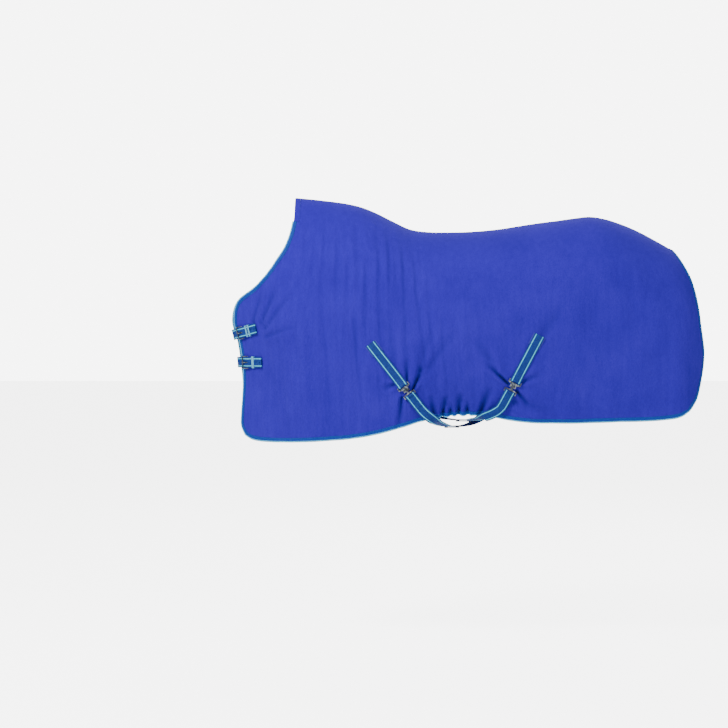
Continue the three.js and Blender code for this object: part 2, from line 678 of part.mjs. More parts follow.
function chestFastening(name, height, rise, keepers) {
  const route = chestRoute(height, rise);
  const heel = frameAt(route, 0);
  const heelBar = frameAt(route, 0, heelHeight);
  const tilt = new THREE.Matrix4().makeRotationY(Math.asin(frontBarRise / frameLength));
  const inFrame = heelBar.clone().multiply(tilt);

  const strap = band(route, sewnEnd, strapTip, webWidth, strapLow, (t) => strapLow(t) + webThick, 60);
  const slot = box([prongSlotLength, prongSlotWidth, cutThrough], [-6.2, 0, strapOverHeel], heel);
  const holes = [1, 2, 3].map((k) => {
    const hole = new THREE.CylinderGeometry(strapHoleRadius, strapHoleRadius, cutThrough, 12);
    hole.rotateX(Math.PI / 2);
    return hole.applyMatrix4(frameAt(route, firstHole + (k - 1) * strapHolePitch, strapOnChape));
  });
  add(name + "_chest_strap", cut(strap, slot, ...holes), "webbing");
  const patch = band(route, sewnEnd - patchMargin, sewnEnd + sewnLength, webWidth + 2 * patchMargin,
    chestLift, chestLift + patchThick, 10);
  add(name + "_chest_strap_patch", patch, "binding");

  const chapeBottom = steps([[46, chapeLow], [54, chestLift]]); // it drops onto the cloth behind the keepers
  const chapeOver = (t) => chapeBottom(t) + chapeTop;
  const tail = band(route, 1, chapeLength, chapeWidth, chapeBottom, chapeOver, 14);
  const ring = profile(circle(0, heelHeight, eyeOuter, 16), [], chapeWidth, heel);
  const bore = profile(circle(0, heelHeight, eyeRadius, 16), [], chapeWidth + 2, heel);
  const prongRoom = box([17, prongWidth + 3.4, cutThrough], [-4.1, 0, heelHeight], heel);
  add(name + "_chape", cut(join(tail, ring), bore, prongRoom), "webbing");

  const halfWindow = webWidth / 2 + frameClearance + barRadius;
  const pivot = V(0, 0, 0).applyMatrix4(heelBar);
  const { across } = route.at(0);
  group.userData.joints[name + "_buckle_frame"] = { pivot, axis: across.clone() };
  group.userData.joints[name + "_buckle_prong"] = { pivot, axis: across.clone() };
  const frame = wireFrame(-frameLength, 0, halfWindow, frameCorner, barRadius, inFrame);
  add(name + "_buckle_frame", frame, "metal");

  const barTop = barRadius + seamGap;
  const tongue = [
    [0, eyeOuter], [-frameLength, barTop + prongThick], [-frameLength - 3, barTop + 0.9],
    [-frameLength - 2.6, barTop - 0.6], [-frameLength + 1, barTop + 0.1],
    [-2.6, eyeRadius + 0.1], [0, eyeRadius + 0.2],
  ];
  const prongEye = profile(circle(0, 0, eyeOuter, 16), [], prongWidth, inFrame);
  const prongBore = profile(circle(0, 0, eyeRadius, 16), [], prongWidth + 2, inFrame);
  const prong = join(profile(tongue, [], prongWidth, inFrame), prongEye);
  add(name + "_buckle_prong", cut(prong, prongBore), "metal");

  for (const [keeper, t, length] of keepers) {
    const base = chapeLow - keeperClearance;
    const roof = strapOnChape + webThick + keeperClearance;
    const w = webWidth / 2 + 0.7;
    const wall = keeperThick + 0.2;
    const outer = rectangle(-w - wall, w + wall, base - keeperThick, roof + keeperThick + seamGap);
    const hole = rectangle(-w, w, base, roof);
    const loop = plate(outer, [hole], -length / 2, length / 2);
    const turn = new THREE.Matrix4().makeBasis(V(0, 1, 0), V(0, 0, 1), V(1, 0, 0));
    group.userData.joints[name + "_" + keeper] = { pivot: route.at(t).point, axis: route.at(t).along };
    add(name + "_" + keeper, loop.applyMatrix4(turn).applyMatrix4(frameAt(route, t)), "keeper");
  }
}

chestFastening("upper", -0.571 * drop, 0.28, [["keeper_front", 22, 8], ["keeper_rear", 36, 8]]);
chestFastening("lower", -0.685 * drop, 0.02, [["keeper", 28, 12]]);

// ---------------------------------------------------------------- belly surcingles
// Clasp pivot and sewn top of each short strap, in side view.
const frontClasp = side([0.2895, -0.788]);
const frontTop = side([0.198, -0.604]);
const rearClasp = side([0.567, -0.7725]);
const rearTop = side([0.635, -0.57]);

// Along the strap from the pivot: the window is centred on it, the bars lie beyond their slots.
const windowHalf = windowLength / 2;
const eyeWeb = 8; // metal between the window and the webbing slot
const hookWebLength = 6; // metal between the neck and the T-hook's webbing slot
const eyeSlotEnd = -windowHalf - eyeWeb;
const eyeBarEnd = eyeSlotEnd - plateSlot;
const eyeEnd = windowHalf + endBar;
const hookWeb = eyeEnd + 6;
const hookSlot = hookWeb + hookWebLength;
const hookBar = hookSlot + plateSlot;
const hookEnd = hookBar + plateBar;
const loopWall = webThick + seamGap;
const plateTop = plateHeight + plateThick;

function webbingLoop(bar0, bar1, matrix) {
  const outer = rectangle(bar0 - loopWall, bar1 + loopWall, plateHeight - loopWall, plateTop + loopWall);
  const inner = rectangle(bar0 - seamGap, bar1 + seamGap, plateHeight - seamGap, plateTop + seamGap);
  return profile(outer, [inner], webWidth, matrix);
}

function hookEye(matrix) {
  const w = plateWidth / 2;
  const e = eyeEndWidth / 2;
  const t0 = eyeBarEnd - plateBar;
  const shoulder = -windowHalf - eyeWeb / 2;
  const outline = [[t0, -w], [shoulder, -w], [-windowHalf, -e], [eyeEnd, -e],
    [eyeEnd, e], [-windowHalf, e], [shoulder, w], [t0, w]];
  const slot = rectangle(eyeBarEnd, eyeSlotEnd, -plateSlotWidth / 2, plateSlotWidth / 2);
  const opening = rectangle(-windowHalf, windowHalf, -windowWidth / 2, windowWidth / 2);
  return plate(outline, [slot, opening], plateHeight, plateTop).applyMatrix4(matrix);
}

// The neck comes down behind the eye's end only as near as the swivel lets it.
const swivel = THREE.MathUtils.degToRad(swivelLimit);
const neckDown = (eyeEnd + (neckWidth / 2) * Math.sin(swivel)) / Math.cos(swivel) + 2 * seamGap;

function tHook(matrix) {
  const w = plateWidth / 2;
  const n = neckWidth / 2;
  const stem = stemLength / 2;
  const outline = [[hookWeb - 3, -n], [hookWeb, -n], [hookWeb + 2.5, -w], [hookEnd, -w],
    [hookEnd, w], [hookWeb + 2.5, w], [hookWeb, n], [hookWeb - 3, n]];
  const slot = rectangle(hookSlot, hookBar, -plateSlotWidth / 2, plateSlotWidth / 2);
  const body = plate(outline, [slot], plateHeight, plateTop).applyMatrix4(matrix);
  const over = plateTop + plateGap;
  const headTop = plateHeight - plateGap;
  const headLow = headTop - plateThick;
  const neck = [
    [hookWeb - 1, plateHeight], [hookWeb - 1, plateTop], [eyeEnd + 3, over + plateThick],
    [-stem, over + plateThick], [-stem, headLow], [stem, headLow], [stem, over], [neckDown, over],
    [neckDown + 1, plateHeight],
  ];
  const head = box([stemLength + 2, headWidth, plateThick], [0, 0, headTop - plateThick / 2], matrix);
  return join(body, profile(neck, [], neckWidth, matrix), head);
}

const flipY = V(1, -1, 1);
const overSide = webLift + patchThick + seamGap;
const patchLength = 46;

// A band whose centre line and outward direction run smoothly through chosen places.
function freeBand(places, width, thick, count) {
  const line = new THREE.CatmullRomCurve3(places.map(([point]) => point), false, "centripetal");
  const facing = new THREE.CatmullRomCurve3(places.map(([, out]) => out), false, "centripetal");
  const at = (u) => {
    const along = line.getTangent(u);
    const out = facing.getPoint(u);
    out.addScaledVector(along, -along.dot(out)).normalize();
    return { point: line.getPoint(u), along, out, across: out.clone().cross(along) };
  };
  const rings = [];
  for (let i = 0; i <= count; i++) {
    const { point, out, across } = at(i / count);
    const corner = (b, n) => point.clone().addScaledVector(across, b).addScaledVector(out, n);
    const w = width / 2;
    rings.push([corner(-w, 0), corner(w, 0), corner(w, thick), corner(-w, thick)]);
  }
  const flat = [[0, 0], [1, 0], [1, 1], [0, 1]].map(([a, b]) => new THREE.Vector2(a, b));
  return { geometry: loft(rings, false, flat), at };
}

const beyondClasp = 130; // a side route reaches this far below its clasp
const hemStandOff = 17; // a strap passes this far outside the trimmed hem
const belowHem = 9;
const bellySpan = 270; // middle plane to where a strap passes the hem
const hemHeight = through(hemPoints.map(side));

// Where a long strap passes the hem at X on one side of the rug.
function overHem(x, way) {
  const z = hemHeight(x) - belowHem;
  const reach = -onSide(x, z).y + hemStandOff;
  return [V(x, way * reach, z), V(0, way, -0.35).normalize()];
}

// The strap's places under the belly, from the near hem at x0 to the far hem at x1.
function underBelly(x0, x1, lowestZ) {
  return [[-215, -0.8], [-110, -0.1], [0, 0], [110, 0.1], [215, 0.8]].map(([y, lean]) => {
    const x = THREE.MathUtils.lerp(x0, x1, (y + bellySpan) / (2 * bellySpan));
    const hemZ = hemHeight(y < 0 ? x0 : x1) - belowHem;
    const z = lowestZ + (hemZ - lowestZ) * (Math.abs(y) / bellySpan) ** 2.5;
    return [V(x, y, z), V(0, lean, -1).normalize()];
  });
}

// path gives the strap's X at the near and far hem and its lowest height.
function surcingle(name, clasp, top, farClasp, farTop, path) {
  const route = sideRoute([...clasp, beyondClasp], top);
  const sewn = route.top;
  const pivot = frameAt(route, 0);
  const strapLift = steps([[sewn + patchLength + patchMargin, overSide], [-45, webLift + seamGap],
    [eyeBarEnd - plateBar - 8, plateHeight - loopWall]]);
  const strapOver = (t) => strapLift(t) + webThick;
  const shortBand = band(route, sewn, eyeBarEnd - 2, webWidth, strapLift, strapOver, 14, 2);
  const shortStrap = join(shortBand, webbingLoop(eyeBarEnd - plateBar, eyeBarEnd, pivot));
  add(name + "_short_strap", shortStrap, "webbing");
  const patch = (line) => band(line, line.top - patchMargin, line.top + patchLength,
    webWidth + 2 * patchMargin, webLift, webLift + patchThick, 6, 2);
  add(name + "_short_strap_patch", patch(route), "binding");
  add(name + "_hook_eye", hookEye(pivot), "metal");
  add(name + "_t_hook", tHook(pivot), "metal");
  const { point, along, out } = route.at(0);
  group.userData.joints[name + "_t_hook"] = { pivot: point, axis: out };

  const tailLow = plateHeight - loopWall;
  const tailCentre = [hookEnd + loopTail / 2, 0, tailLow + webThick];
  const tail = box([loopTail, webWidth, 2 * webThick], tailCentre, pivot);
  add(name + "_hook_loop", join(tail, webbingLoop(hookBar, hookEnd, pivot)), "webbing");

  const start = hookEnd + loopTail + swivelGap;
  const straight = 15; // the strap runs on in line with the clasp before it bends
  const lead = (t) => [point.clone().addScaledVector(along, t).addScaledVector(out, tailLow), out];
  const far = sideRoute([...farClasp, beyondClasp], farTop);
  const farPlace = (t) => [far.offset(t, 0, overSide).multiply(flipY), far.at(t).out.multiply(flipY)];
  const [x0] = side([path.nearX, 0]);
  const [x1, lowestZ] = side([path.farX, path.lowestZ]);
  const places = [
    lead(start), lead(start + straight), overHem(x0, -1), ...underBelly(x0, x1, lowestZ), overHem(x1, 1),
    ...[85, 40, -10, -60, -120, far.top + patchLength, far.top].map(farPlace),
  ];
  const { geometry, at } = freeBand(places, webWidth, webThick, 80);
  add(name + "_long_strap", geometry, "webbing");
  add(name + "_long_strap_patch", mirrored(patch(far)), "binding");

  const sliderPlace = 4.15; // counted in places along the strap: just past the second one under the belly
  const { point: seat, along: run, out: away, across } = at(sliderPlace / (places.length - 1));
  const frame = new THREE.Matrix4().makeBasis(run, across, away);
  frame.setPosition(seat.clone().addScaledVector(away, webThick / 2));
  const inner = webThick / 2 + sliderClearance;
  const sideY = webWidth / 2 + sliderClearance + sliderSide / 2;
  const barWidth = webWidth + 2 * sliderClearance + sliderSide;
  const tall = 2 * (inner + sliderThick + railStep);
  const endBarPlace = (sliderLength - sliderBar) / 2 - railStep;
  const bars = [[-endBarPlace, -1], [0, 1], [endBarPlace, -1]];
  const slider = join(
    ...[-1, 1].map((way) => box([sliderLength, sliderSide, tall], [0, way * sideY, 0], frame)),
    ...bars.map(([t, way]) =>
      box([sliderBar, barWidth, sliderThick], [t, 0, way * (inner + sliderThick / 2)], frame)),
  );
  group.userData.joints[name + "_slider"] = { pivot: seat, axis: run };
  add(name + "_slider", slider, "metal");
}

const frontPath = { nearX: 0.362, farX: 0.52, lowestZ: -0.952 };
const rearPath = { nearX: 0.49, farX: 0.35, lowestZ: -0.925 };
surcingle("front", frontClasp, frontTop, rearClasp, rearTop, frontPath);
surcingle("rear", rearClasp, rearTop, frontClasp, frontTop, rearPath);

export default group;
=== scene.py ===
# Fleece horse rug on an unseen horse: two bound and piped fleece panels, two buckled chest straps and
# two crossed belly surcingles with T-hook clasps. Metres, +X to the tail, -Y the horse's left, +Z up.
# The sections follow the rug as it is sewn together and then hung with its fittings.
import json
import math

import bpy
import numpy as np
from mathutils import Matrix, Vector, noise

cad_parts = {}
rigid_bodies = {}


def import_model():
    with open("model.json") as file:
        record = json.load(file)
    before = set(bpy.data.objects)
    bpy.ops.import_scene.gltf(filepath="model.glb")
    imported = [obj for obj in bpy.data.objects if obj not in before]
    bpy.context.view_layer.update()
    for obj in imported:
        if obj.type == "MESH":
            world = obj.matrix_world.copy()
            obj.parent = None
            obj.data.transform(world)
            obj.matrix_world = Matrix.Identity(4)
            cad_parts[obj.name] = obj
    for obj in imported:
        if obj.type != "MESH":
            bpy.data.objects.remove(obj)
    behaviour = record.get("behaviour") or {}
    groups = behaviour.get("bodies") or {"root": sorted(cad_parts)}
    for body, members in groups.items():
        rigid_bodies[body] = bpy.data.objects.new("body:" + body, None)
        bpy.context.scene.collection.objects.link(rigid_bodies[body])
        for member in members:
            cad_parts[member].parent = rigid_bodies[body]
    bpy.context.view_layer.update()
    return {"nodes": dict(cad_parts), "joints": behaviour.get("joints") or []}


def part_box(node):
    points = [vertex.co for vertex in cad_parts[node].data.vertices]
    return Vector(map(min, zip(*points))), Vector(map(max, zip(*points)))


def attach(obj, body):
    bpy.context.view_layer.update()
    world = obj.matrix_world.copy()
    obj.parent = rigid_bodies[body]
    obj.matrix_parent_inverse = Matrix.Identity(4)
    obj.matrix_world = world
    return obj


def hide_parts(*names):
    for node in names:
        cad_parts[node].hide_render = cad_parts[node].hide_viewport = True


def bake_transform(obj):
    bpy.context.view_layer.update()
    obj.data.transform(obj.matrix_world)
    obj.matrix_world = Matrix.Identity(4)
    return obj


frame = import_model()
nodes = frame["nodes"]
joints = {joint["name"]: joint for joint in frame["joints"]}

# ---------------------------------------------------------------- fleece panels
# Two shaped panels of 3 mm double-brushed polyester fleece, one for each side of the horse.
# They are cut to the horse's outline, sewn to each other along the back, and pulled into creases
# where the surcingles are clasped.
cloth_thick = 0.003
cells = (30, 20)  # stations of the panel in the frame: along the back, and from the back to the hem
fine_row = 0.0052  # spacing of the cloth's own points down the side, where it is creased
fine_column = 0.00572  # and along the horse
even_step = 0.0105  # spacing where it lies smooth
creased_length = (-0.05, 0.98)  # stretch of the side that is creased, measured along the horse
creased_below = -0.52  # and the height under which it is
front_clasp = Vector(joints["front_hook_swivel"]["pos_m"])
rear_clasp = Vector(joints["rear_hook_swivel"]["pos_m"])


def only(*pieces):
    """Selects these pieces and nothing else; the first is the active one."""
    bpy.ops.object.select_all(action="DESELECT")
    for piece in pieces:
        piece.select_set(True)
    bpy.context.view_layer.objects.active = pieces[0]


def copied(node, name):
    """A piece of its own with a CAD node's shape, its loose triangles joined up."""
    piece = bpy.data.objects.new(name, nodes[node].data.copy())
    bpy.context.collection.objects.link(piece)
    piece.data.materials.clear()
    only(piece)
    bpy.ops.object.mode_set(mode="EDIT")
    bpy.ops.mesh.select_all(action="SELECT")
    bpy.ops.mesh.customdata_custom_splitnormals_clear()
    bpy.ops.mesh.remove_doubles(threshold=1e-5)
    bpy.ops.object.mode_set(mode="OBJECT")
    return piece


def points_of(mesh):
    """A mesh's vertex places as an array of rows."""
    places = np.empty(len(mesh.vertices) * 3, np.float32)
    mesh.vertices.foreach_get("co", places)
    return places.reshape(-1, 3).astype(float)


def outer_skin(piece):
    """Cuts a closed sheet along its sharp rim and keeps only the side that faces out."""
    only(piece)
    bpy.ops.object.mode_set(mode="EDIT")
    bpy.ops.mesh.select_mode(type="EDGE")
    bpy.ops.mesh.select_all(action="DESELECT")
    bpy.ops.mesh.edges_select_sharp(sharpness=math.radians(48))
    bpy.ops.mesh.edge_split(type="EDGE")
    bpy.ops.mesh.select_all(action="DESELECT")
    bpy.ops.mesh.select_mode(type="FACE")
    bpy.ops.object.mode_set(mode="OBJECT")
    widest = max(piece.data.polygons, key=lambda face: abs(face.center.y))
    widest.select = True
    bpy.ops.object.mode_set(mode="EDIT")
    bpy.ops.mesh.select_linked()
    bpy.ops.mesh.select_all(action="INVERT")
    bpy.ops.mesh.delete(type="FACE")
    bpy.ops.object.mode_set(mode="OBJECT")


def steps_from(mesh, start):
    """How many edges each vertex is away from the start vertex."""
    near = [[] for _ in mesh.vertices]
    for edge in mesh.edges:
        a, b = edge.vertices
        near[a].append(b)
        near[b].append(a)
    steps = np.full(len(near), -1)
    steps[start] = 0
    edge_of_reach = [start]
    while edge_of_reach:
        reached = {b for a in edge_of_reach for b in near[a] if steps[b] < 0}
        steps[list(reached)] = steps[edge_of_reach[0]] + 1
        edge_of_reach = list(reached)
    return steps


def in_rows(piece):
    """The skin's points sorted into columns from the back seam to the hem, front column first."""
    places = points_of(piece.data)
    ridge = np.abs(places[:, 1]) < 0.0005
    front_top = int(np.argmin(np.where(ridge, places[:, 0], np.inf)))
    rear_top = int(np.argmax(np.where(ridge, places[:, 0], -np.inf)))
    diagonal = steps_from(piece.data, front_top)
    lean = cells[0] - steps_from(piece.data, rear_top)
    column = np.where(lean >= 0, diagonal, diagonal + lean)
    row = column - lean
    grid = np.empty((cells[0] + 1, cells[1] + 1, 3))
    grid[column, row] = places
    return grid


def rounded(rows, counts):
    """Smooth curves through rows of points, with counts giving the steps between neighbours."""
    padded = np.concatenate([2 * rows[:1] - rows[1:2], rows, 2 * rows[-1:] - rows[-2:-1]])
    pieces = []
    for count, a, b, c, d in zip(counts, padded, padded[1:], padded[2:], padded[3:]):
        t = (np.arange(count) / count).reshape(-1, *[1] * (rows.ndim - 1))
        bend = (2 * a - 5 * b + 4 * c - d) * t**2 + (3 * b - a - 3 * c + d) * t**3
        pieces.append(b + 0.5 * ((c - a) * t + bend))
    return np.concatenate([*pieces, rows[-1:]])


def facing(places):
    """Unit normals of a grid of points, pointing away from the horse."""
    along = np.gradient(places, axis=0)
    down = np.gradient(places, axis=1)
    normals = np.cross(along, down)
    normals /= np.linalg.norm(normals, axis=2, keepdims=True)
    middle = normals[normals.shape[0] // 2, normals.shape[1] // 2]
    outward = math.copysign(1, places[0, -1, 1]) * middle[1]
    return normals * math.copysign(1, outward)


def smooth_step(value, low, high):
    """Goes from 0 at low to 1 at high without a corner."""
    t = np.clip((value - low) / (high - low), 0, 1)
    return t * t * (3 - 2 * t)


def crease(x, z, start, end, width, depth):
    """A fold line: a valley with a raised lip on each side, deepest near its start."""
    start, end = np.array(start), np.array(end)
    way = end - start
    share = ((x - start[0]) * way[0] + (z - start[1]) * way[1]) / (way @ way)
    held = np.clip(share, 0, 1)
    away = np.hypot(x - start[0] - held * way[0], z - start[1] - held * way[1])
    wide = width * (1 + 0.8 * held)
    fade = (1 - held) ** 0.7 * np.exp(-((np.minimum(share, 0) * np.hypot(*way) / width) ** 2))
    valley = np.exp(-((away / wide) ** 2))
    lips = np.exp(-(((away - 2.1 * wide) / wide) ** 2))
    return depth * fade * (0.55 * lips - valley)


def off_line(x, z, start, end):
    """Distance of side-view places from the line between two points."""
    start, end = np.array(start), np.array(end)
    way = end - start
    share = np.clip(((x - start[0]) * way[0] + (z - start[1]) * way[1]) / (way @ way), 0, 1)
    return np.hypot(x - start[0] - share * way[0], z - start[1] - share * way[1])


def uneven(x, z, width, height, seed):
    """Smooth random waves, each about width wide and height high, between -1 and 1."""
    flat = zip((x / width).ravel(), (z / height).ravel())
    return np.array([noise.noise((a, b, seed)) for a, b in flat]).reshape(x.shape)


# Every pull is [from, to, width, depth]; from is beside the clasp that draws the cloth together.
front_x, front_z = front_clasp.x, front_clasp.z
rear_x, rear_z = rear_clasp.x, rear_clasp.z
hem_z = -0.81
pulls = [
    [(front_x + 0.004, front_z + 0.03), (front_x + 0.004, front_z + 0.12), 0.005, 0.011],
    [(front_x + 0.022, front_z - 0.012), (front_x + 0.06, front_z + 0.085), 0.005, 0.015],
    [(front_x + 0.05, front_z + 0.07), (front_x + 0.095, front_z + 0.22), 0.009, 0.005],
    [(front_x + 0.045, front_z + 0.03), (front_x + 0.19, front_z + 0.23), 0.012, 0.004],
    [(front_x - 0.03, front_z + 0.02), (front_x - 0.085, front_z + 0.0), 0.006, 0.009],
    [(front_x - 0.014, front_z - 0.03), (front_x - 0.028, front_z - 0.17), 0.006, 0.0095],
    [(front_x - 0.035, front_z + 0.05), (front_x - 0.075, front_z + 0.3), 0.012, 0.003],
    [(rear_x - 0.016, rear_z + 0.004), (rear_x - 0.105, rear_z + 0.085), 0.005, 0.015],
    [(rear_x - 0.06, rear_z + 0.06), (rear_x - 0.14, rear_z + 0.17), 0.01, 0.005],
    [(rear_x + 0.012, rear_z - 0.02), (rear_x + 0.06, rear_z - 0.075), 0.005, 0.013],
    [(rear_x + 0.03, rear_z + 0.012), (rear_x + 0.11, rear_z + 0.045), 0.007, 0.007],
    [(rear_x + 0.06, rear_z + 0.12), (rear_x + 0.2, rear_z + 0.32), 0.014, 0.0035],
    [(rear_x + 0.0, rear_z - 0.06), (rear_x + 0.16, rear_z - 0.1), 0.012, 0.004],
    [(front_x + 0.135, hem_z - 0.01), (front_x + 0.15, hem_z + 0.07), 0.006, 0.014],
    [(front_x + 0.168, hem_z), (front_x + 0.16, hem_z + 0.045), 0.006, 0.01],
    [(front_x + 0.195, hem_z), (front_x + 0.203, hem_z + 0.08), 0.007, 0.012],
    [(front_x + 0.23, hem_z), (front_x + 0.222, hem_z + 0.05), 0.006, 0.012],
    [(front_x + 0.275, hem_z), (front_x + 0.31, hem_z + 0.1), 0.008, 0.011],
    [(front_x + 0.105, hem_z), (front_x + 0.09, hem_z + 0.075), 0.007, 0.008],
]
# The chest strap also gathers a fan of folds that climb over the shoulder point to the neckline.
chest_corner, chest_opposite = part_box("upper_chest_strap_patch")
drawn_x, drawn_z = chest_opposite.x + 0.03, (chest_corner.z + chest_opposite.z) / 2
pulls += [
    [(drawn_x - 0.03, drawn_z + 0.03), (drawn_x + 0.0, drawn_z + 0.15), 0.005, 0.006],
    [(drawn_x + 0.0, drawn_z + 0.025), (drawn_x + 0.06, drawn_z + 0.17), 0.006, 0.007],
    [(drawn_x + 0.015, drawn_z + 0.01), (drawn_x + 0.12, drawn_z + 0.15), 0.007, 0.0055],
    [(drawn_x + 0.02, drawn_z - 0.02), (drawn_x + 0.15, drawn_z + 0.03), 0.007, 0.004],
]
# Over the shoulder the cloth hangs in long thin folds: [x, top, bottom, lean, depth] of each.
hanging = [
    [0.042, -0.08, -0.31, 0.0, 0.0034],
    [0.078, -0.12, -0.4, -0.012, 0.0036],
    [0.114, -0.1, -0.47, -0.016, 0.0042],
    [0.165, -0.11, -0.47, -0.012, 0.0036],
    [0.204, -0.2, -0.5, -0.015, 0.003],
    [0.238, -0.22, -0.6, -0.012, 0.0044],
    [0.27, -0.18, -0.52, -0.008, 0.0036],
    [0.314, -0.19, -0.5, 0.004, 0.0038],
    [0.35, -0.16, -0.52, 0.01, 0.0042],
    [0.402, -0.19, -0.52, 0.014, 0.0036],
    [0.444, -0.23, -0.48, 0.02, 0.0032],
    [0.49, -0.28, -0.56, 0.02, 0.003],
]

# The cloth is pressed flat under the straps: under the surcingles from their patches to the clasps,
# or on past them on the right side, and under the whole length of the chest straps.
strap_lines = []
for end, clasp in (("front", front_clasp), ("rear", rear_clasp)):
    corner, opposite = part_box(f"{end}_short_strap_patch")
    top = ((corner.x + opposite.x) / 2, (corner.z + opposite.z) / 2)
    strap_lines.append((top, (clasp.x * 1.12 - top[0] * 0.12, clasp.z * 1.12 - top[1] * 0.12)))
for level in ("upper", "lower"):
    corner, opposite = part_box(f"{level}_chest_strap")
    middle_z = (corner.z + opposite.z) / 2
    strap_lines.append(((corner.x, middle_z), (opposite.x, middle_z)))


def folds(x, z, seed):
    """How far the cloth stands off its even shape at side-view places, and the painted shade of its creases
    and belly tuck.
    """
    below_back = smooth_step(-z, 0.14, 0.34)
    shoulder = np.exp(-(((x - 0.2) / 0.3) ** 2))
    flank = np.exp(-(((x - 0.62) / 0.2) ** 2)) * smooth_step(-z, 0.35, 0.6)
    height = 0.0032 * below_back * (0.35 + shoulder + 0.5 * flank) * uneven(x, z, 0.036, 0.42, seed)
    wide = 0.5 - np.abs(2 * uneven(x + 0.12 * z, z, 0.04, 0.6, seed + 5.5))
    narrow = 0.4 - np.abs(2 * uneven(x + 0.09 * z, z, 0.019, 0.5, seed + 9.1))
    high_up = smooth_step(-z, 0.06, 0.2) * np.exp(-(((x - 0.2) / 0.13) ** 2))
    over = np.maximum(below_back, high_up) * (1 - 0.35 * smooth_step(-z, 0.5, 0.75))
    height += over * (shoulder + 0.45 * flank) * (0.0055 * wide + 0.004 * narrow)
    for fold_x, top, bottom, lean, deep in hanging:
        share = (top - z) / (top - bottom)
        shift = x - fold_x - lean * share - 0.4 * deep * np.sin(9 * share)
        reach = smooth_step(share, -0.15, 0.3) * (1 - smooth_step(share, 0.55, 1.2))
        valley = np.exp(-((shift / 0.006) ** 2))
        lip = np.exp(-(((shift + 0.013) / 0.011) ** 2))
        height += deep * reach * (0.8 * lip - valley)
    slant = x + 0.45 * z
    rump = smooth_step(x, 0.8, 1.1) * below_back
    height += 0.008 * rump * uneven(slant, z, 0.13, 0.5, seed + 3.3)
    height += 0.004 * smooth_step(-z, 0.1, 0.3) * uneven(x, z, 0.11, 0.16, seed + 7.7)
    flutes = smooth_step(-z, 0.55, 0.9) * (1 - flank)
    height += 0.007 * flutes * uneven(x, z, 0.075, 0.9, seed + 11.1)
    creased = sum(crease(x, z, *pull) for pull in pulls)
    height += creased
    beside = np.minimum.reduce([off_line(x, z, *line) for line in strap_lines])
    free = smooth_step(beside, 0.021, 0.034)
    # Painted shade for the pile colour: darker with crease depth, and in a broad patch where the belly tucks
    # in between the clasps.
    belly_tuck_shade = 0.3 * np.exp(-(((x - 0.61) / 0.16) ** 2)) * smooth_step(-z, 0.66, 0.84)
    shade = np.clip(-creased / 0.011, 0, 1) + belly_tuck_shade
    return free * height + (1 - free) * np.minimum(height, 0) * 0.8, np.clip(shade, 0, 1)


def material(name, colour, roughness, metallic=0.0):
    """A new finish; returns it, its node tree and its shader."""
    finish = bpy.data.materials.new(name)
    finish.use_nodes = True
    finish.diffuse_color = (*colour, 1)
    shader = finish.node_tree.nodes["Principled BSDF"]
    shader.inputs["Base Color"].default_value = (*colour, 1)
    shader.inputs["Roughness"].default_value = roughness
    shader.inputs["Metallic"].default_value = metallic
    return finish, finish.node_tree, shader


def put(tree, kind, feeds=(), **settings):
    """Adds a node; feeds are its inputs by name or number, each a value or another node's output."""
    made = tree.nodes.new("ShaderNode" + kind)
    for key, value in settings.items():
        setattr(made, key, value)
    for socket, value in dict(feeds).items():
        if isinstance(value, bpy.types.NodeSocket):
            tree.links.new(value, made.inputs[socket])
        else:
            made.inputs[socket].default_value = value
    return made


def grain(tree, places, scale, detail=2.0, stretch=(1, 1, 1)):
    """Noise on the piece itself; scale counts the grains in a metre."""
    turned = put(tree, "Mapping", {"Vector": places, "Scale": stretch})
    feeds = {"Vector": turned.outputs[0], "Scale": scale, "Detail": detail}
    return put(tree, "TexNoise", feeds).outputs["Fac"]


def sums(tree, *terms):
    """The sum of outputs, each with its weight."""
    total = None
    for output, weight in terms:
        scaled = put(tree, "Math", {0: output, 1: weight}, operation="MULTIPLY").outputs[0]
        total = scaled if total is None else put(tree, "Math", {0: total, 1: scaled}).outputs[0]
    return total


def tinted(tree, shader, amount, colours, low=0.3, high=0.7):
    """Colours the shader from the first colour to the last as amount goes from low to high."""
    spread = put(tree, "MapRange", {"Value": amount, "From Min": low, "From Max": high})
    ramp = put(tree, "ValToRGB", {"Fac": spread.outputs[0]})
    ramp.color_ramp.elements[0].color = (*colours[0], 1)
    ramp.color_ramp.elements[1].color = (*colours[-1], 1)
    for place, colour in enumerate(colours[1:-1], 1):
        ramp.color_ramp.elements.new(place / (len(colours) - 1)).color = (*colour, 1)
    tree.links.new(ramp.outputs[0], shader.inputs["Base Color"])


def raised(tree, shader, height, depth, strength=1.0):
    """Gives the surface relief from an output, with depth in metres."""
    bump = put(tree, "Bump", {"Height": height, "Distance": depth, "Strength": strength})
    tree.links.new(bump.outputs[0], shader.inputs["Normal"])


def sheen(shader, weight, roughness, tint):
    """Light caught by loose fibres that stand off the surface."""
    shader.inputs["Sheen Weight"].default_value = weight
    shader.inputs["Sheen Roughness"].default_value = roughness
    shader.inputs["Sheen Tint"].default_value = (*tint, 1)


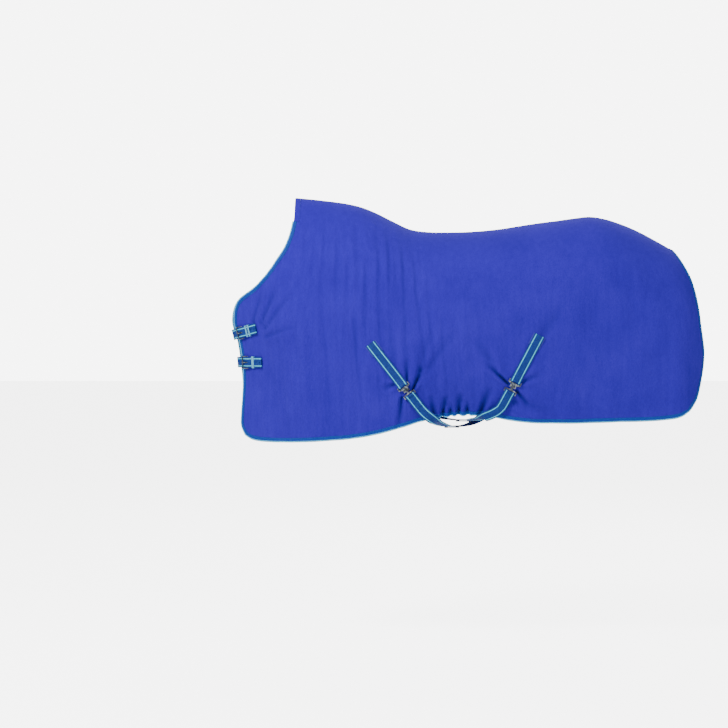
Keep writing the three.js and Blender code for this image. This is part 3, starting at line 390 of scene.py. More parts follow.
# Brushed pile: millimetre tufts in small clumps, with the nap lying down the cloth.
fleece, tree, shader = material("royal_blue_fleece", (0.032, 0.012, 0.38), 0.95)
places = put(tree, "TexCoord").outputs["Object"]
tufts = grain(tree, places, 900, 3.0, (1, 1, 0.6))
clumps = grain(tree, places, 260, 2.0, (1, 1, 0.5))
nap = grain(tree, places, 60, 2.0, (1, 1, 0.12))
patches = grain(tree, places, 7, 2.0)
shade = sums(tree, (tufts, 0.38), (clumps, 0.27), (nap, 0.15), (patches, 0.2))
tinted(tree, shader, shade, [(0.02, 0.005, 0.27), (0.032, 0.012, 0.38), (0.048, 0.024, 0.48)])
# Painted shade: the valley attribute mixes the pile colour towards dark blue deep in creases and under the
# belly tuck.
lit = shader.inputs["Base Color"].links[0].from_socket
valley = put(tree, "Attribute", attribute_name="valley").outputs["Fac"]  # painted shade in creases and under the belly tuck
shaded = put(tree, "Mix", {0: valley, 6: lit, 7: (0.002, 0.004, 0.1, 1)}, data_type="RGBA").outputs[2]
tree.links.new(shaded, shader.inputs["Base Color"])
raised(tree, shader, sums(tree, (tufts, 0.6), (clumps, 0.4)), 0.0011, 0.55)
sheen(shader, 0.12, 0.5, (0.2, 0.3, 1.0))
shader.inputs["Specular IOR Level"].default_value = 0.08


def cloth_from(places, name, finish, painted_shade):
    """A grid of cloth through these points, given its thickness inwards and the painted shade of its creases
    and belly tuck.
    """
    columns, rows = places.shape[:2]
    bpy.ops.mesh.primitive_grid_add(x_subdivisions=rows - 1, y_subdivisions=columns - 1, size=1)
    piece = bpy.context.object
    piece.name = name
    piece.data.vertices.foreach_set("co", places.astype(np.float32).ravel())
    # The valley attribute holds painted shade, which darkens the fleece colour.
    shades = piece.data.attributes.new("valley", "FLOAT", "POINT")
    shades.data.foreach_set("value", painted_shade.astype(np.float32).ravel())
    piece.data.update()
    outward = Vector(facing(places)[columns // 2, rows // 2])
    middle = piece.data.polygons[len(piece.data.polygons) // 2 + rows // 2]
    if middle.normal.dot(outward) < 0:
        only(piece)
        bpy.ops.object.mode_set(mode="EDIT")
        bpy.ops.mesh.select_all(action="SELECT")
        bpy.ops.mesh.flip_normals()
        bpy.ops.object.mode_set(mode="OBJECT")
    only(piece)
    bpy.ops.object.modifier_add(type="SOLIDIFY")
    wall = piece.modifiers[-1]
    wall.thickness = cloth_thick
    wall.offset = -1
    wall.use_even_offset = False
    bpy.ops.object.modifier_apply(modifier=wall.name)
    bpy.ops.object.shade_smooth_by_angle(angle=math.radians(60))
    piece.data.materials.append(finish)
    return piece


def steps_in(gaps, wanted):
    """How many steps each gap is divided into for the wanted spacing."""
    return [max(2, round(float(gap / step))) for gap, step in zip(gaps, wanted)]


cloth = {}
for side, seed in (("left", 0.0), ("right", 20.0)):
    skin = copied(f"{side}_body_panel", "skin")
    outer_skin(skin)
    grid = in_rows(skin)
    bpy.data.objects.remove(skin)
    across_gaps = np.linalg.norm(np.diff(grid[:, 12], axis=0), axis=1)
    down_gaps = np.linalg.norm(np.diff(grid[15], axis=0), axis=1)
    creased = (grid[1:, 12, 0] > creased_length[0]) & (grid[:-1, 12, 0] < creased_length[1])
    columns = steps_in(across_gaps, np.where(creased, fine_column, even_step))
    low_down = grid[15, 1:, 2] < creased_below
    rows = steps_in(down_gaps, np.where(low_down, fine_row, even_step))
    even = rounded(rounded(grid, columns).swapaxes(0, 1), rows).swapaxes(0, 1)
    # folds gives the stand-off and depth, which is the painted shade of the creases and belly tuck.
    stand, depth = folds(even[..., 0], even[..., 2], seed)
    stand *= smooth_step(np.abs(even[..., 1]), 0.004, 0.06)
    places = even + facing(even) * stand[..., None]
    cloth[side] = places
    panel = cloth_from(places, f"{side}_panel", fleece, 0.85 * depth)
    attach(panel, "rug")
    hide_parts(f"{side}_body_panel")

# ---------------------------------------------------------------- back seam
# The two panels meet edge to edge along the back and are oversewn; a woven tape covers the seam
# from below, behind the withers pad. Two rows of topstitching run beside the seam.
tape_drop = 0.0016  # the tape hangs this much lower than its node, clear of the smoothed back
tape_body = copied("back_seam_tape", "seam_tape")
only(tape_body)
bpy.ops.object.mode_set(mode="EDIT")
bpy.ops.mesh.select_all(action="SELECT")
bpy.ops.transform.translate(value=(0, 0, -tape_drop))
bpy.ops.object.mode_set(mode="OBJECT")
bpy.ops.object.shade_smooth_by_angle(angle=math.radians(40))

tape_blue, tree, shader = material("woven_tape", (0.008, 0.05, 0.3), 0.75)
places = put(tree, "TexCoord").outputs["Object"]
ribs = put(tree, "TexWave", {"Vector": places, "Scale": 210.0, "Distortion": 0.4}, bands_direction="DIAGONAL")
soil = grain(tree, places, 130, 3.0)
shade = sums(tree, (ribs.outputs["Fac"], 0.35), (soil, 0.65))
tinted(tree, shader, shade, [(0.005, 0.035, 0.22), (0.008, 0.05, 0.3), (0.014, 0.08, 0.38)])
raised(tree, shader, sums(tree, (ribs.outputs["Fac"], 0.7), (soil, 0.3)), 0.0004, 0.6)
sheen(shader, 0.15, 0.4, (0.6, 0.8, 1.0))
tape_body.data.materials.append(tape_blue)
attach(tape_body, "rug")
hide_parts("back_seam_tape")

thread_size = (0.0032, 0.0009)  # length and thickness of one stitch
stitch_pitch = 0.0046
stitch_lift = 0.0003  # middle of a stitch above the surface it is sewn through
bpy.ops.mesh.primitive_uv_sphere_add(segments=6, ring_count=4, radius=0.5, rotation=(0, math.pi / 2, 0))
one_stitch = bpy.context.object
bpy.ops.object.transform_apply(rotation=True)
stitch_points = points_of(one_stitch.data) * (thread_size[0], thread_size[1], thread_size[1])
stitch_faces = [list(face.vertices) for face in one_stitch.data.polygons]
bpy.data.objects.remove(one_stitch)

thread, tree, shader = material("polyester_thread", (0.012, 0.04, 0.3), 0.5)
places = put(tree, "TexCoord").outputs["Object"]
twist = grain(tree, places, 1500, 2.0)
tinted(tree, shader, twist, [(0.008, 0.025, 0.24), (0.018, 0.06, 0.38)])
raised(tree, shader, twist, 0.0002, 0.5)


def unit(rows):
    """Directions with a length of one."""
    return rows / np.linalg.norm(rows, axis=-1, keepdims=True)


def along_line(places, *others, pitch):
    """Resamples a line and what goes with it at an even pitch; returns arrays and the lengths."""
    lengths = np.concatenate([[0], np.cumsum(np.linalg.norm(np.diff(places, axis=0), axis=1))])
    wanted = np.linspace(0, lengths[-1], max(2, int(lengths[-1] / pitch) + 1))
    lines = (places, *others)
    rows = [np.stack([np.interp(wanted, lengths, a[:, k]) for k in range(3)], 1) for a in lines]
    return *rows, wanted


def sewn(name, lines, body):
    """Rows of stitches along lines of (places, outward directions)."""
    vertices = []
    faces = []
    for places, out in lines:
        places, out, _ = along_line(places, out, pitch=stitch_pitch)
        middles = (places[:-1] + places[1:]) / 2
        run = unit(np.diff(places, axis=0))
        up = unit(out[:-1])
        across = np.cross(up, run)
        turned = stitch_points @ np.stack([run, across, up], 1)
        for row in turned + (middles + up * stitch_lift)[:, None]:
            faces += [[k + len(vertices) for k in face] for face in stitch_faces]
            vertices += row.tolist()
    mesh = bpy.data.meshes.new(name)
    mesh.from_pydata(vertices, [], faces)
    piece = bpy.data.objects.new(name, mesh)
    bpy.context.collection.objects.link(piece)
    mesh.materials.append(thread)
    only(piece)
    bpy.ops.object.shade_smooth()
    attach(piece, body)
    return piece


seam_inset = 0.007
for side, places in cloth.items():
    normals = facing(places)
    beside = []
    for column, out in zip(places[4:-3], normals[4:-3]):
        away = np.abs(column[:, 1] - column[0, 1])
        beside.append([np.interp(seam_inset, away[:40], column[:40, k]) for k in range(3)])
    sewn(f"{side}_seam_stitches", [(np.array(beside), normals[4:-3, 8])], "rug")

# ---------------------------------------------------------------- withers pad
# A fleece-covered foam pad keeps the rug off the withers. It is sewn round its edge under the front
# of the neckline and quilted in channels that run across the horse, which dent its underside.
pad = copied("withers_pad", "quilted_withers_pad")
only(pad)
bpy.ops.object.mode_set(mode="EDIT")
bpy.ops.mesh.select_all(action="SELECT")
bpy.ops.mesh.tris_convert_to_quads(face_threshold=0.6, shape_threshold=1.2)
bpy.ops.mesh.subdivide(number_cuts=3, smoothness=0.6)
bpy.ops.object.mode_set(mode="OBJECT")
channel = 0.045  # width of a quilted channel
quilt_depth = 0.0022
places = points_of(pad.data)
inward = np.array([vertex.normal for vertex in pad.data.vertices])
quilt = np.abs(np.sin(math.pi * places[:, 0] / channel)) ** 0.5
under = smooth_step(-inward[:, 2], 0.1, 0.4)
places[:, 2] += quilt_depth * under * (1 - quilt)
pad.data.vertices.foreach_set("co", places.astype(np.float32).ravel())
bpy.ops.object.shade_smooth_by_angle(angle=math.radians(50))
pad.data.materials.append(fleece)
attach(pad, "rug")
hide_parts("withers_pad")

# ---------------------------------------------------------------- edge binding and piping
# A folded woven tape is sewn round each panel's free edge, and a thin fabric-covered cord, the
# piping, is caught outside it. Both start below the withers; above that the neckline is faced
# with folded fleece. With its trim on, each panel is a finished sheet, draped over the horse.
trim_start = -0.086
tape_width = 0.0105
tape_thick = 0.0009
piping_radius = 0.0031
piping_stand = 0.0038  # edge of the cloth to the middle of the cord
facing_width = 0.022
facing_thick = 0.0011
tape_gap = 0.0002  # between cloth and tape


def free_edge(places, first_row):
    """The free edge from the neckline to the rear: places, outward normals and inward directions."""
    normals = facing(places)
    inner = places[4:-4, 4:-4]
    route = [(0, row) for row in range(first_row, places.shape[1])]
    route += [(column, places.shape[1] - 1) for column in range(1, places.shape[0])]
    route += [(places.shape[0] - 1, row) for row in range(places.shape[1] - 2, 2, -1)]
    line = np.array([places[k] for k in route])
    out = np.array([normals[k] for k in route])
    limits = np.array(inner.shape[:2]) - 1
    inside = np.array([inner[tuple(np.clip(np.array(k) - 4, 0, limits))] for k in route])
    line, out, inside, _ = along_line(line, out, inside, pitch=0.004)
    run = np.gradient(line, axis=0)
    inward = np.cross(out, run)
    inward *= np.sign((inward * (inside - line)).sum(1, keepdims=True))
    for _ in range(6):
        inward[1:-1] = (inward[:-2] + 2 * inward[1:-1] + inward[2:]) / 4
        out[1:-1] = (out[:-2] + 2 * out[1:-1] + out[2:]) / 4
    return line, unit(out), unit(inward)


def swept(name, line, side_way, up_way, outline, finish):
    """A closed outline of (sideways, up) carried along a line; its UVs are metres along and across."""
    outline = np.array(outline)
    count, n = len(line), len(outline)
    rings = line[:, None] + side_way[:, None] * outline[:, :1] + up_way[:, None] * outline[:, 1:]
    quads = [
        [i * n + k, i * n + (k + 1) % n, (i + 1) * n + (k + 1) % n, (i + 1) * n + k]
        for i in range(count - 1)
        for k in range(n)
    ]
    caps = [list(range(n))[::-1], [(count - 1) * n + k for k in range(n)]]
    mesh = bpy.data.meshes.new(name)
    mesh.from_pydata(rings.reshape(-1, 3).tolist(), [], quads + caps)
    lengths = np.concatenate([[0], np.cumsum(np.linalg.norm(np.diff(line, axis=0), axis=1))])
    strap_map = mesh.uv_layers.new(name="strap")
    corners = np.array([loop.vertex_index for loop in mesh.loops])
    sizes = np.stack([lengths[corners // n], outline[corners % n, 0]], 1)
    strap_map.data.foreach_set("uv", sizes.astype(np.float32).ravel())
    piece = bpy.data.objects.new(name, mesh)
    bpy.context.collection.objects.link(piece)
    mesh.materials.append(finish)
    only(piece)
    bpy.ops.object.mode_set(mode="EDIT")
    bpy.ops.mesh.select_all(action="SELECT")
    bpy.ops.mesh.normals_make_consistent(inside=False)
    bpy.ops.object.mode_set(mode="OBJECT")
    bpy.ops.object.shade_smooth_by_angle(angle=math.radians(50))
    return piece


def folded_over(width, gap, thick):
    """Outline of a tape folded over a cloth edge; sideways counts inwards from the edge."""
    half = cloth_thick / 2
    turn = [(-math.sin(a), math.cos(a)) for a in np.linspace(0, math.pi, 9)]
    high = half + gap + thick
    edge = [(width, high - thick * 0.4), (width - thick, high), (width / 2, high + 0.0002), (0.001, high)]
    outer = edge + [(high * 0.75 * s, high * c) for s, c in turn]
    outer += [(inwards, -up) for inwards, up in edge[::-1]]
    low = half + gap
    inner = [(width, -low), (width / 2, -low)]
    inner += [(low * 0.5 * s, -low * c) for s, c in turn]
    return outer + inner + [(width / 2, low), (width, low)]


binding_tape, tree, shader = material("twill_binding", (0.002, 0.038, 0.32), 0.7)
strap_uv = put(tree, "UVMap", uv_map="strap").outputs[0]
twill = put(tree, "TexWave", {"Vector": strap_uv, "Scale": 260.0}, bands_direction="DIAGONAL")
wear = grain(tree, strap_uv, 300, 3.0)
shade = sums(tree, (twill.outputs["Fac"], 0.4), (wear, 0.6))
tinted(tree, shader, shade, [(0.001, 0.024, 0.24), (0.002, 0.038, 0.32), (0.006, 0.07, 0.42)])
raised(tree, shader, shade, 0.0004, 0.6)
sheen(shader, 0.04, 0.4, (0.3, 0.5, 1.0))
shader.inputs["Specular IOR Level"].default_value = 0.2

turquoise_cord, tree, shader = material("turquoise_piping", (0.07, 0.44, 0.74), 0.6)
strap_uv = put(tree, "UVMap", uv_map="strap").outputs[0]
twill = put(tree, "TexWave", {"Vector": strap_uv, "Scale": 200.0}, bands_direction="DIAGONAL")
wear = grain(tree, strap_uv, 250, 3.0)
shade = sums(tree, (twill.outputs["Fac"], 0.45), (wear, 0.55))
tinted(tree, shader, shade, [(0.04, 0.32, 0.6), (0.07, 0.44, 0.74), (0.14, 0.56, 0.84)])
raised(tree, shader, shade, 0.0005, 0.6)
sheen(shader, 0.1, 0.4, (0.6, 0.9, 1.0))

around = np.arange(12) * math.pi / 6
cord_round = [(piping_radius * math.cos(a), piping_radius * math.sin(a)) for a in around]
for side, places in cloth.items():
    first_row = int(np.argmax(places[0, :, 2] < trim_start))
    line, out, inward = free_edge(places, first_row)
    middle_line = line - out * cloth_thick / 2
    folded_tape = folded_over(tape_width, tape_gap, tape_thick)
    tape = swept(f"{side}_binding_tape", middle_line, inward, out, folded_tape, binding_tape)
    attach(tape, "rug")
    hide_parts(f"{side}_edge_binding")
    cord_line = middle_line - inward * piping_stand
    cord = swept(f"{side}_piping_cord", cord_line, inward, out, cord_round, turquoise_cord)
    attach(cord, "rug")
    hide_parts(f"{side}_edge_piping")
    stitch_line = line + inward * (tape_width - 0.002) + out * (tape_gap + tape_thick)
    under_line = stitch_line - out * (cloth_thick + 2 * tape_gap + 2 * tape_thick)
    stitches = sewn(f"{side}_binding_stitches", [(stitch_line, out), (under_line, -out)], "rug")
    facing_rows = np.arange(3, first_row + 1)
    neck = places[0, facing_rows]
    neck_out = facing(places)[0, facing_rows]
    neck_in = unit(places[6, facing_rows] - neck)
    fold = swept(
        f"{side}_withers_facing", neck - neck_out * cloth_thick / 2, neck_in, neck_out,
        folded_over(facing_width, 0.0001, facing_thick), fleece,
    )
    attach(fold, "rug")
    facing_line = neck + neck_in * (facing_width - 0.003) + neck_out * (facing_thick + 0.0002)
    sewn(f"{side}_facing_stitches", [(facing_line, neck_out)], "rug")
    panel = bpy.data.objects[f"{side}_panel"]

# ---------------------------------------------------------------- chest straps and buckles
# Two 40 mm polypropylene webbing straps, each sewn to a patch on the right panel, pass round the chest
# and through a tongue buckle. A doubled webbing chape, sewn to the left panel, holds the buckle's heel
# bar; keepers of light elastic slide on strap and chape and hold the free end down.
web_width = 0.04
web_thick = 0.0018
web_pitch = 0.0015  # ribs of the weave
stripe_from_middle = 0.0135
stripe_width = 0.0036
box_half = 0.0165  # half the width of a stitched box at a strap's sewn end
box_end = 0.003  # from the strap's end to the box's near side
box_far = 0.043  # and to its far side


def traced(node, start, way, out, pitch=0.004, reach=0.03):
    """Follows a band from one end by slicing it: middles, directions across and outward directions."""
    band = copied(node, "band")
    places = points_of(band.data)
    ends = np.array([edge.vertices[:] for edge in band.data.edges])
    bpy.data.objects.remove(band)
    middle, way, out = np.array(start, float), unit(np.array(way, float)), np.array(out, float)
    slices = []
    while len(slices) < 1000:
        first, second = ((places[ends[:, k]] - middle) @ way for k in (0, 1))
        cut = first * second < 0
        share = (first[cut] / (first[cut] - second[cut]))[:, None]
        hits = places[ends[cut, 0]] * (1 - share) + places[ends[cut, 1]] * share
        hits = hits[np.linalg.norm(hits - middle, axis=1) < reach]
        if len(hits) < 4:
            break
        across = np.linalg.svd(hits - hits.mean(0))[2][0]
        across = unit(across - way * (across @ way))
        up = np.cross(way, across)
        if up @ out < 0:
            across, up = -across, -up
        wide, high = (hits - middle) @ across, (hits - middle) @ up
        centre = middle + across * (wide.max() + wide.min()) / 2 + up * (high.max() + high.min()) / 2
        if slices:
            way = unit(centre - slices[-1][0])
        out = up
        slices.append((centre, across, up))
        middle = centre + way * pitch
    line, across, up = (np.array(rows) for rows in zip(*slices))
    rest = ((places - line[-1]) @ way)[np.linalg.norm(places - line[-1], axis=1) < reach].max()
    line[-1] += way * max(rest, 0)
    return line, across, up


def placed(strap, lengths, sideways, lift):
    """Points on a strap's frames, by length from its start, and their outward directions."""
    line, across, up = strap
    along = np.concatenate([[0], np.cumsum(np.linalg.norm(np.diff(line, axis=0), axis=1))])
    at = [np.stack([np.interp(lengths, along, rows[:, k]) for k in range(3)], 1) for rows in strap]
    return at[0] + at[1] * np.reshape(sideways, (-1, 1)) + at[2] * lift, unit(at[2])


def boxed_cross(strap, low, high, half, lift):
    """Seam lines of a stitched box with a cross in it."""
    corners = [(low, -half), (high, -half), (high, half), (low, half)]
    sides = list(zip(corners, corners[1:] + corners[:1]))
    sides += [(corners[0], corners[2]), (corners[1], corners[3])]
    share = np.linspace(0, 1, 14)
    ways = [(a, np.subtract(b, a)) for a, b in sides]
    return [placed(strap, a[0] + way[0] * share, a[1] + way[1] * share, lift) for a, way in ways]


def mapped(piece, strap):
    """Gives a piece that follows a strap UVs in metres along and across it."""
    line, across, _ = strap
    along = np.concatenate([[0], np.cumsum(np.linalg.norm(np.diff(line, axis=0), axis=1))])
    way = unit(np.gradient(line, axis=0))
    places = points_of(piece.data)
    nearest = np.argmin(np.linalg.norm(places[:, None] - line[None], axis=2), axis=1)
    gap = places - line[nearest]
    sizes = np.stack([along[nearest] + (gap * way[nearest]).sum(1), (gap * across[nearest]).sum(1)], 1)
    for layer in list(piece.data.uv_layers):
        piece.data.uv_layers.remove(layer)
    layer = piece.data.uv_layers.new(name="strap")
    corners = np.array([loop.vertex_index for loop in piece.data.loops])
    layer.data.foreach_set("uv", sizes[corners].astype(np.float32).ravel())


def stand_in(node, name, body, finish, ease):
    """A copy of a node with its hard edges rounded, which is shown instead of the node."""
    piece = copied(node, name)
    only(piece)
    bpy.ops.object.mode_set(mode="EDIT")
    bpy.ops.mesh.dissolve_limited(angle_limit=math.radians(1.5))
    bpy.ops.object.mode_set(mode="OBJECT")
    bpy.ops.object.modifier_add(type="BEVEL")
    rounding = piece.modifiers[-1]
    rounding.width = ease
    rounding.segments = 2
    rounding.limit_method = "ANGLE"
    rounding.angle_limit = math.radians(35)
    bpy.ops.object.modifier_apply(modifier=rounding.name)
    bpy.ops.object.shade_smooth_by_angle(angle=math.radians(42))
    piece.data.materials.append(finish)
    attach(piece, body)
    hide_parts(node)
    return piece


# Mid-blue plain weave with two turquoise stripes near the edges.
webbing, tree, shader = material("striped_webbing", (0.001, 0.03, 0.22), 0.6)
strap_uv = put(tree, "UVMap", uv_map="strap").outputs[0]
parts = put(tree, "SeparateXYZ", {0: strap_uv})
ribs_along = put(tree, "TexWave", {"Vector": strap_uv, "Scale": 0.314 / web_pitch}, bands_direction="X")
ribs_across = put(tree, "TexWave", {"Vector": strap_uv, "Scale": 0.314 / web_pitch}, bands_direction="Y")
fibres = grain(tree, strap_uv, 700, 3.0, (0.3, 1, 1))
wear = grain(tree, strap_uv, 90, 3.0)
weave = sums(tree, (ribs_along.outputs["Fac"], 0.5), (ribs_across.outputs["Fac"], 0.3), (fibres, 0.2))
from_middle = put(tree, "Math", {0: parts.outputs[1]}, operation="ABSOLUTE").outputs[0]
from_stripe = put(tree, "Math", {0: from_middle, 1: stripe_from_middle}, operation="SUBTRACT").outputs[0]
beside = put(tree, "Math", {0: from_stripe}, operation="ABSOLUTE").outputs[0]
stripe_feeds = {0: beside, 1: stripe_width / 2 - 0.0003, 2: stripe_width / 2 + 0.0003, 3: 1.0, 4: 0.0}
striped = put(tree, "MapRange", stripe_feeds).outputs[0]
shade = sums(tree, (weave, 0.5), (wear, 0.5))
tinted(tree, shader, shade, [(0.0, 0.016, 0.14), (0.001, 0.03, 0.22), (0.004, 0.055, 0.3)])
plain = shader.inputs["Base Color"].links[0].from_socket
both = put(tree, "Mix", {0: striped, 6: plain, 7: (0.1, 0.6, 0.8, 1)}, data_type="RGBA").outputs[2]
tree.links.new(both, shader.inputs["Base Color"])
raised(tree, shader, weave, 0.0005, 0.7)
shader.inputs["Specular IOR Level"].default_value = 0.25

# Cast zinc, blackened and rubbed bright on its high places; here dark and bright fall in random blotches and
# fine scratches.
antique_metal, tree, shader = material("antique_nickel", (0.2, 0.21, 0.23), 0.3, 1.0)
places = put(tree, "TexCoord").outputs["Object"]
blotches = grain(tree, places, 120, 4.0)
scratches = grain(tree, places, 900, 2.0, (1, 0.2, 1))
shade = sums(tree, (blotches, 0.7), (scratches, 0.3))
tinted(tree, shader, shade, [(0.025, 0.032, 0.045), (0.12, 0.14, 0.175), (0.55, 0.61, 0.7)])
dull = put(tree, "MapRange", {0: shade, 1: 0.3, 2: 0.7, 3: 0.42, 4: 0.2}).outputs[0]
tree.links.new(dull, shader.inputs["Roughness"])
raised(tree, shader, blotches, 0.0004, 0.35)

# Close-woven cloth in the fleece's own blue, sewn on under each strap's end.
patch_cloth, tree, shader = material("patch_cloth", (0.022, 0.02, 0.34), 0.8)
places = put(tree, "TexCoord").outputs["Object"]
threads = grain(tree, places, 1100, 2.0, (1, 1, 0.3))
crossing = grain(tree, places, 1100, 2.0, (0.3, 1, 1))
shade = sums(tree, (threads, 0.5), (crossing, 0.5))
tinted(tree, shader, shade, [(0.014, 0.012, 0.24), (0.022, 0.02, 0.34), (0.035, 0.035, 0.42)])
raised(tree, shader, shade, 0.0004, 0.5)

light_elastic, tree, shader = material("light_elastic", (0.1, 0.4, 0.62), 0.5)
places = put(tree, "TexCoord").outputs["Object"]
ribs = put(tree, "TexWave", {"Vector": places, "Scale": 0.314 / 0.0012}, bands_direction="Z")
soft = grain(tree, places, 500, 3.0)
shade = sums(tree, (ribs.outputs["Fac"], 0.5), (soft, 0.5))
tinted(tree, shader, shade, [(0.06, 0.3, 0.52), (0.11, 0.42, 0.64), (0.2, 0.55, 0.75)])
raised(tree, shader, shade, 0.0004, 0.6)

chest_keepers = {"upper": ["keeper_front", "keeper_rear"], "lower": ["keeper"]}
for level, keepers in chest_keepers.items():
    band = points_of(nodes[f"{level}_chest_strap"].data)
    sewn_end = band[band[:, 1] > band[:, 1].max() - 0.003].mean(0)
    further = band[np.abs(band[:, 1] - band[:, 1].max() + 0.02) < 0.004].mean(0)
    start = sewn_end + unit(further - sewn_end) * 0.002
    chest = traced(f"{level}_chest_strap", start, further - sewn_end, (0, 1, 0))
    strap = stand_in(f"{level}_chest_strap", f"{level}_chest_webbing", "rug", webbing, 0.0004)
    mapped(strap, chest)
    node = f"{level}_chest_strap_patch"
    stand_in(node, f"{level}_chest_patch", "rug", patch_cloth, 0.0004)
    seams = boxed_cross(chest, box_end, box_far + 0.002, box_half, web_thick / 2)
    sewn(f"{level}_chest_strap_stitches", seams, "rug")
    chape = stand_in(f"{level}_chape", f"{level}_doubled_chape", "rug", webbing, 0.0004)
    mapped(chape, chest)
    node = f"{level}_buckle_frame"
    stand_in(node, f"{level}_buckle_wire", f"{level}_buckle", antique_metal, 0.0002)
    node = f"{level}_buckle_prong"
    stand_in(node, f"{level}_buckle_tongue", f"{level}_prong", antique_metal, 0.0005)
    for keeper in keepers:
        node = f"{level}_{keeper}"
        stand_in(node, f"{node}_loop", node, light_elastic, 0.0005)

# ---------------------------------------------------------------- belly surcingles
# Two crossed 40 mm straps close the rug under the belly. Each is sewn to a patch high on the right
# panel, passes under the belly through a three-bar slider and ends in a T-hook; a short strap on the
# left panel carries the plate that the T-hook turns in. Webbing is folded round each plate's bar.
plate_low = 0.005  # undersides of the cast plates above the cloth
plate_thick = 0.003
fold_low = plate_low - 0.0012  # middle of the webbing under and over a plate's bar
fold_high = plate_low + plate_thick + 0.0012
tail_box = (0.04, 0.078)  # the stitched box below the T-hook, from the pivot down
rounded_edge = [(math.cos(a), math.sin(a)) for a in np.linspace(-math.pi / 2, math.pi / 2, 5)]
tape_half = web_width / 2 - web_thick / 2
webbing_outline = [(tape_half + web_thick / 2 * c, web_thick / 2 * s) for c, s in rounded_edge]
webbing_outline += [(-a, -n) for a, n in webbing_outline]


def turned_round(bar_start, bar_end, tail_end, way):
    """A webbing fold in side view, as lengths and heights, from its sewn tail over a bar and back."""
    near, far = (bar_start, bar_end) if way > 0 else (bar_end, bar_start)
    return [
        (tail_end, fold_low + web_thick + 0.0001),
        ((tail_end + near) / 2, fold_low + web_thick + 0.0001),
        (near - way * 0.0045, fold_low + web_thick + 0.0004),
        (near - way * 0.0018, fold_high - 0.0012),
        (near + way * 0.0008, fold_high),
        (far - way * 0.0006, fold_high),
        (far + way * 0.0011, fold_high - 0.001),
        (far + way * 0.0014, (fold_low + fold_high) / 2),
        (far + way * 0.0011, fold_low + 0.001),
        (far - way * 0.0006, fold_low),
        (near + way * 0.0008, fold_low),
    ]


for end in ("front", "rear"):
    swivel = joints[f"{end}_hook_swivel"]
    pivot, out = np.array(swivel["pos_m"]), unit(np.array(swivel["axis"]))
    if out[1] > 0:
        out = -out
    low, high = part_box(f"{end}_hook_loop")
    down = (np.array(low) + np.array(high)) / 2 - pivot
    down = unit(down - out * (down @ out))
    side = np.cross(out, down)

    # Short strap: its folded end holds the eye plate, its top end is sewn to a patch.
    lower_end = pivot - down * 0.034 + out * 0.003
    short = traced(f"{end}_short_strap", lower_end, -down, out)
    fold = turned_round(-0.0215, -0.0165, -0.05, 1)
    fold_line = np.array([pivot + down * t + out * h for t, h in fold])
    tail_rise = out * web_thick
    fold_line[0] = placed(short, np.array([0.016]), 0, 0)[0][0] + tail_rise
    fold_line[1] = placed(short, np.array([0.002]), 0, 0)[0][0] + tail_rise
    line = np.concatenate([fold_line, short[0]])
    line = rounded(line, [4] * (len(line) - 1))
    handed = unit(np.cross(unit(np.gradient(line, axis=0)), side))
    if handed[-1] @ short[2][-1] < 0:
        handed = -handed
    across = np.repeat(side[None], len(line), 0)
    strap = swept(f"{end}_short_webbing", line, across, handed, webbing_outline, webbing)
    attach(strap, "rug")
    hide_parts(f"{end}_short_strap")
    stand_in(f"{end}_short_strap_patch", f"{end}_short_patch", "rug", patch_cloth, 0.0004)
    total = float(np.linalg.norm(np.diff(short[0], axis=0), axis=1).sum())
    seams = boxed_cross(short, total - box_far, total - box_end, box_half, web_thick / 2)
    seams += boxed_cross(short, 0.002, 0.014, 0.016, web_thick * 1.5)
    sewn(f"{end}_short_strap_stitches", seams, "rug")

    # Long strap: from the fold in the T-hook, under the belly and up to its patch on the right panel.
    upper_end = pivot + down * 0.0898 + out * fold_low
    long = traced(f"{end}_long_strap", upper_end, down, out)
    fold = turned_round(0.0255, 0.0305, 0.0822, -1)
    straight = [(t, fold_low) for t in (0.037, 0.05, 0.065, 0.08)]
    fold_line = np.array([pivot + down * t + out * h for t, h in fold + straight])
    fold_smooth = rounded(fold_line, [4] * (len(fold_line) - 1))
    eased_line = long[0].copy()
    for _ in range({"front": 24, "rear": 60}[end]):  # the rear strap turns more sharply at the hem
        eased_line[1:-1] = (eased_line[:-2] + 2 * eased_line[1:-1] + eased_line[2:]) / 4
    line = np.concatenate([fold_smooth, eased_line[1:]])
    across = np.concatenate([np.repeat(side[None], len(fold_smooth), 0), long[1][1:]])
    across[len(fold_smooth):] *= math.copysign(1, across[len(fold_smooth) + 1] @ side)
    run = unit(np.gradient(line, axis=0))
    handed = unit(np.cross(run, across))
    if handed[-1] @ long[2][-1] < 0:
        handed = -handed
    strap = swept(f"{end}_surcingle", line, across, handed, webbing_outline, webbing)
    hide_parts(f"{end}_long_strap", f"{end}_hook_loop")
    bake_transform(strap)
    stand_in(f"{end}_long_strap_patch", f"{end}_long_patch", "rug", patch_cloth, 0.0004)
    total = float(np.linalg.norm(np.diff(long[0], axis=0), axis=1).sum())
    seams = boxed_cross(long, total - box_far, total - box_end, box_half, web_thick / 2)
    sewn(f"{end}_long_strap_stitches", seams, "rug")
    tail_line = np.array([pivot + down * t for t in tail_box])
    tail = (tail_line, np.repeat(side[None], 2, 0), np.repeat(out[None], 2, 0))
    tail_top = fold_low + web_thick * 1.5 + 0.0001
    seams = boxed_cross(tail, 0, tail_box[1] - tail_box[0], box_half, tail_top)
    sewn(f"{end}_tail_stitches", seams, f"{end}_hook")

    stand_in(f"{end}_hook_eye", f"{end}_eye_plate", "rug", antique_metal, 0.0007)
    stand_in(f"{end}_t_hook", f"{end}_hook_plate", f"{end}_hook", antique_metal, 0.0007)
    stand_in(f"{end}_slider", f"{end}_slider_bars", f"{end}_slider", antique_metal, 0.0006)

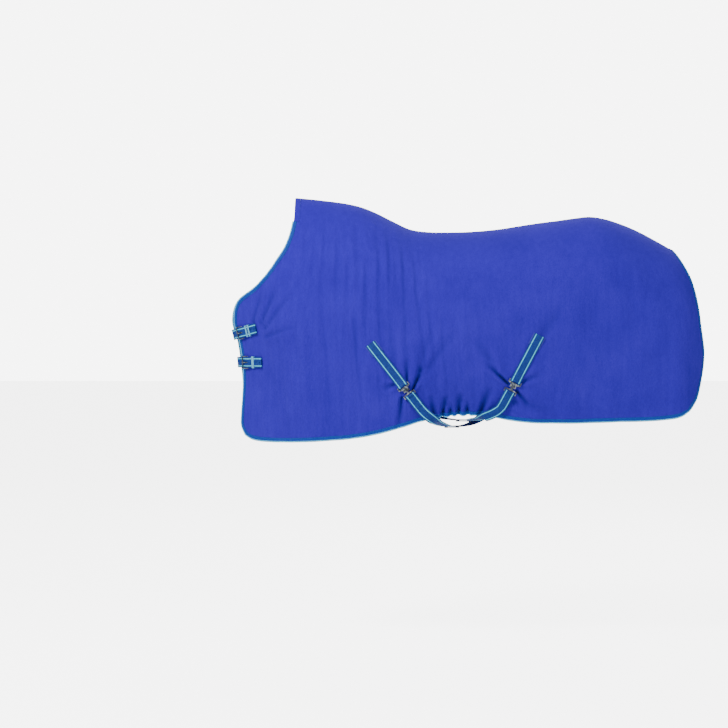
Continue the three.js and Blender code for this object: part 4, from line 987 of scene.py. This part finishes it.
# ---------------------------------------------------------------- studio
# A pale floor far below the hanging rug, one soft key light from the front left above, a weaker fill
# and a light on the far side.
floor_z = -1.68
bpy.ops.mesh.primitive_plane_add(size=60, location=(0.6, 0, floor_z))
floor = bpy.context.object
floor.name = "floor"
pale, tree, shader = material("pale_floor", (0.93, 0.93, 0.93), 0.9)
seen = put(tree, "LightPath").outputs["Is Camera Ray"]
glow = put(tree, "Math", {0: seen, 1: 5.0}, operation="MULTIPLY").outputs[0]  # only the camera sees it
tree.links.new(glow, shader.inputs["Emission Strength"])
shader.inputs["Emission Color"].default_value = (1, 1, 1, 1)
floor.data.materials.append(pale)
world = bpy.data.worlds.new("studio")
bpy.context.scene.world = world
world.use_nodes = True
backdrop = world.node_tree.nodes["Background"]  # pale where the camera sees it, dimmer as a light
backdrop.inputs["Color"].default_value = (1, 1, 1, 1)
seen = put(world.node_tree, "LightPath").outputs["Is Camera Ray"]
bright = put(world.node_tree, "MapRange", {0: seen, 1: 0.0, 2: 1.0, 3: 0.4, 4: 7.0}).outputs[0]
world.node_tree.links.new(bright, backdrop.inputs["Strength"])


def soft_light(name, place, target, size, power):
    """A square area light turned to the target."""
    light = bpy.data.lights.new(name, "AREA")
    light.size = size
    light.energy = power
    lamp = bpy.data.objects.new(name, light)
    bpy.context.collection.objects.link(lamp)
    lamp.location = place
    lamp.rotation_euler = (Vector(target) - Vector(place)).to_track_quat("-Z", "Y").to_euler()


middle = (0.6, 0, -0.5)
soft_light("key", (-2.6, -3.2, 3.0), middle, 1.3, 330)
soft_light("fill", (4.5, -4.5, 1.2), middle, 3.5, 120)
soft_light("back_light", (2.0, 4.5, 3.0), middle, 3.0, 180)

camera = bpy.data.objects.new("camera", bpy.data.cameras.new("camera"))
bpy.context.collection.objects.link(camera)
bpy.context.scene.camera = camera
camera.data.lens = 117
camera.data.sensor_width = 36
camera.location = (0.258, -9.0, -0.4)
target = Vector((0.258, 0, -0.631))
camera.rotation_euler = (target - camera.location).to_track_quat("-Z", "Y").to_euler()
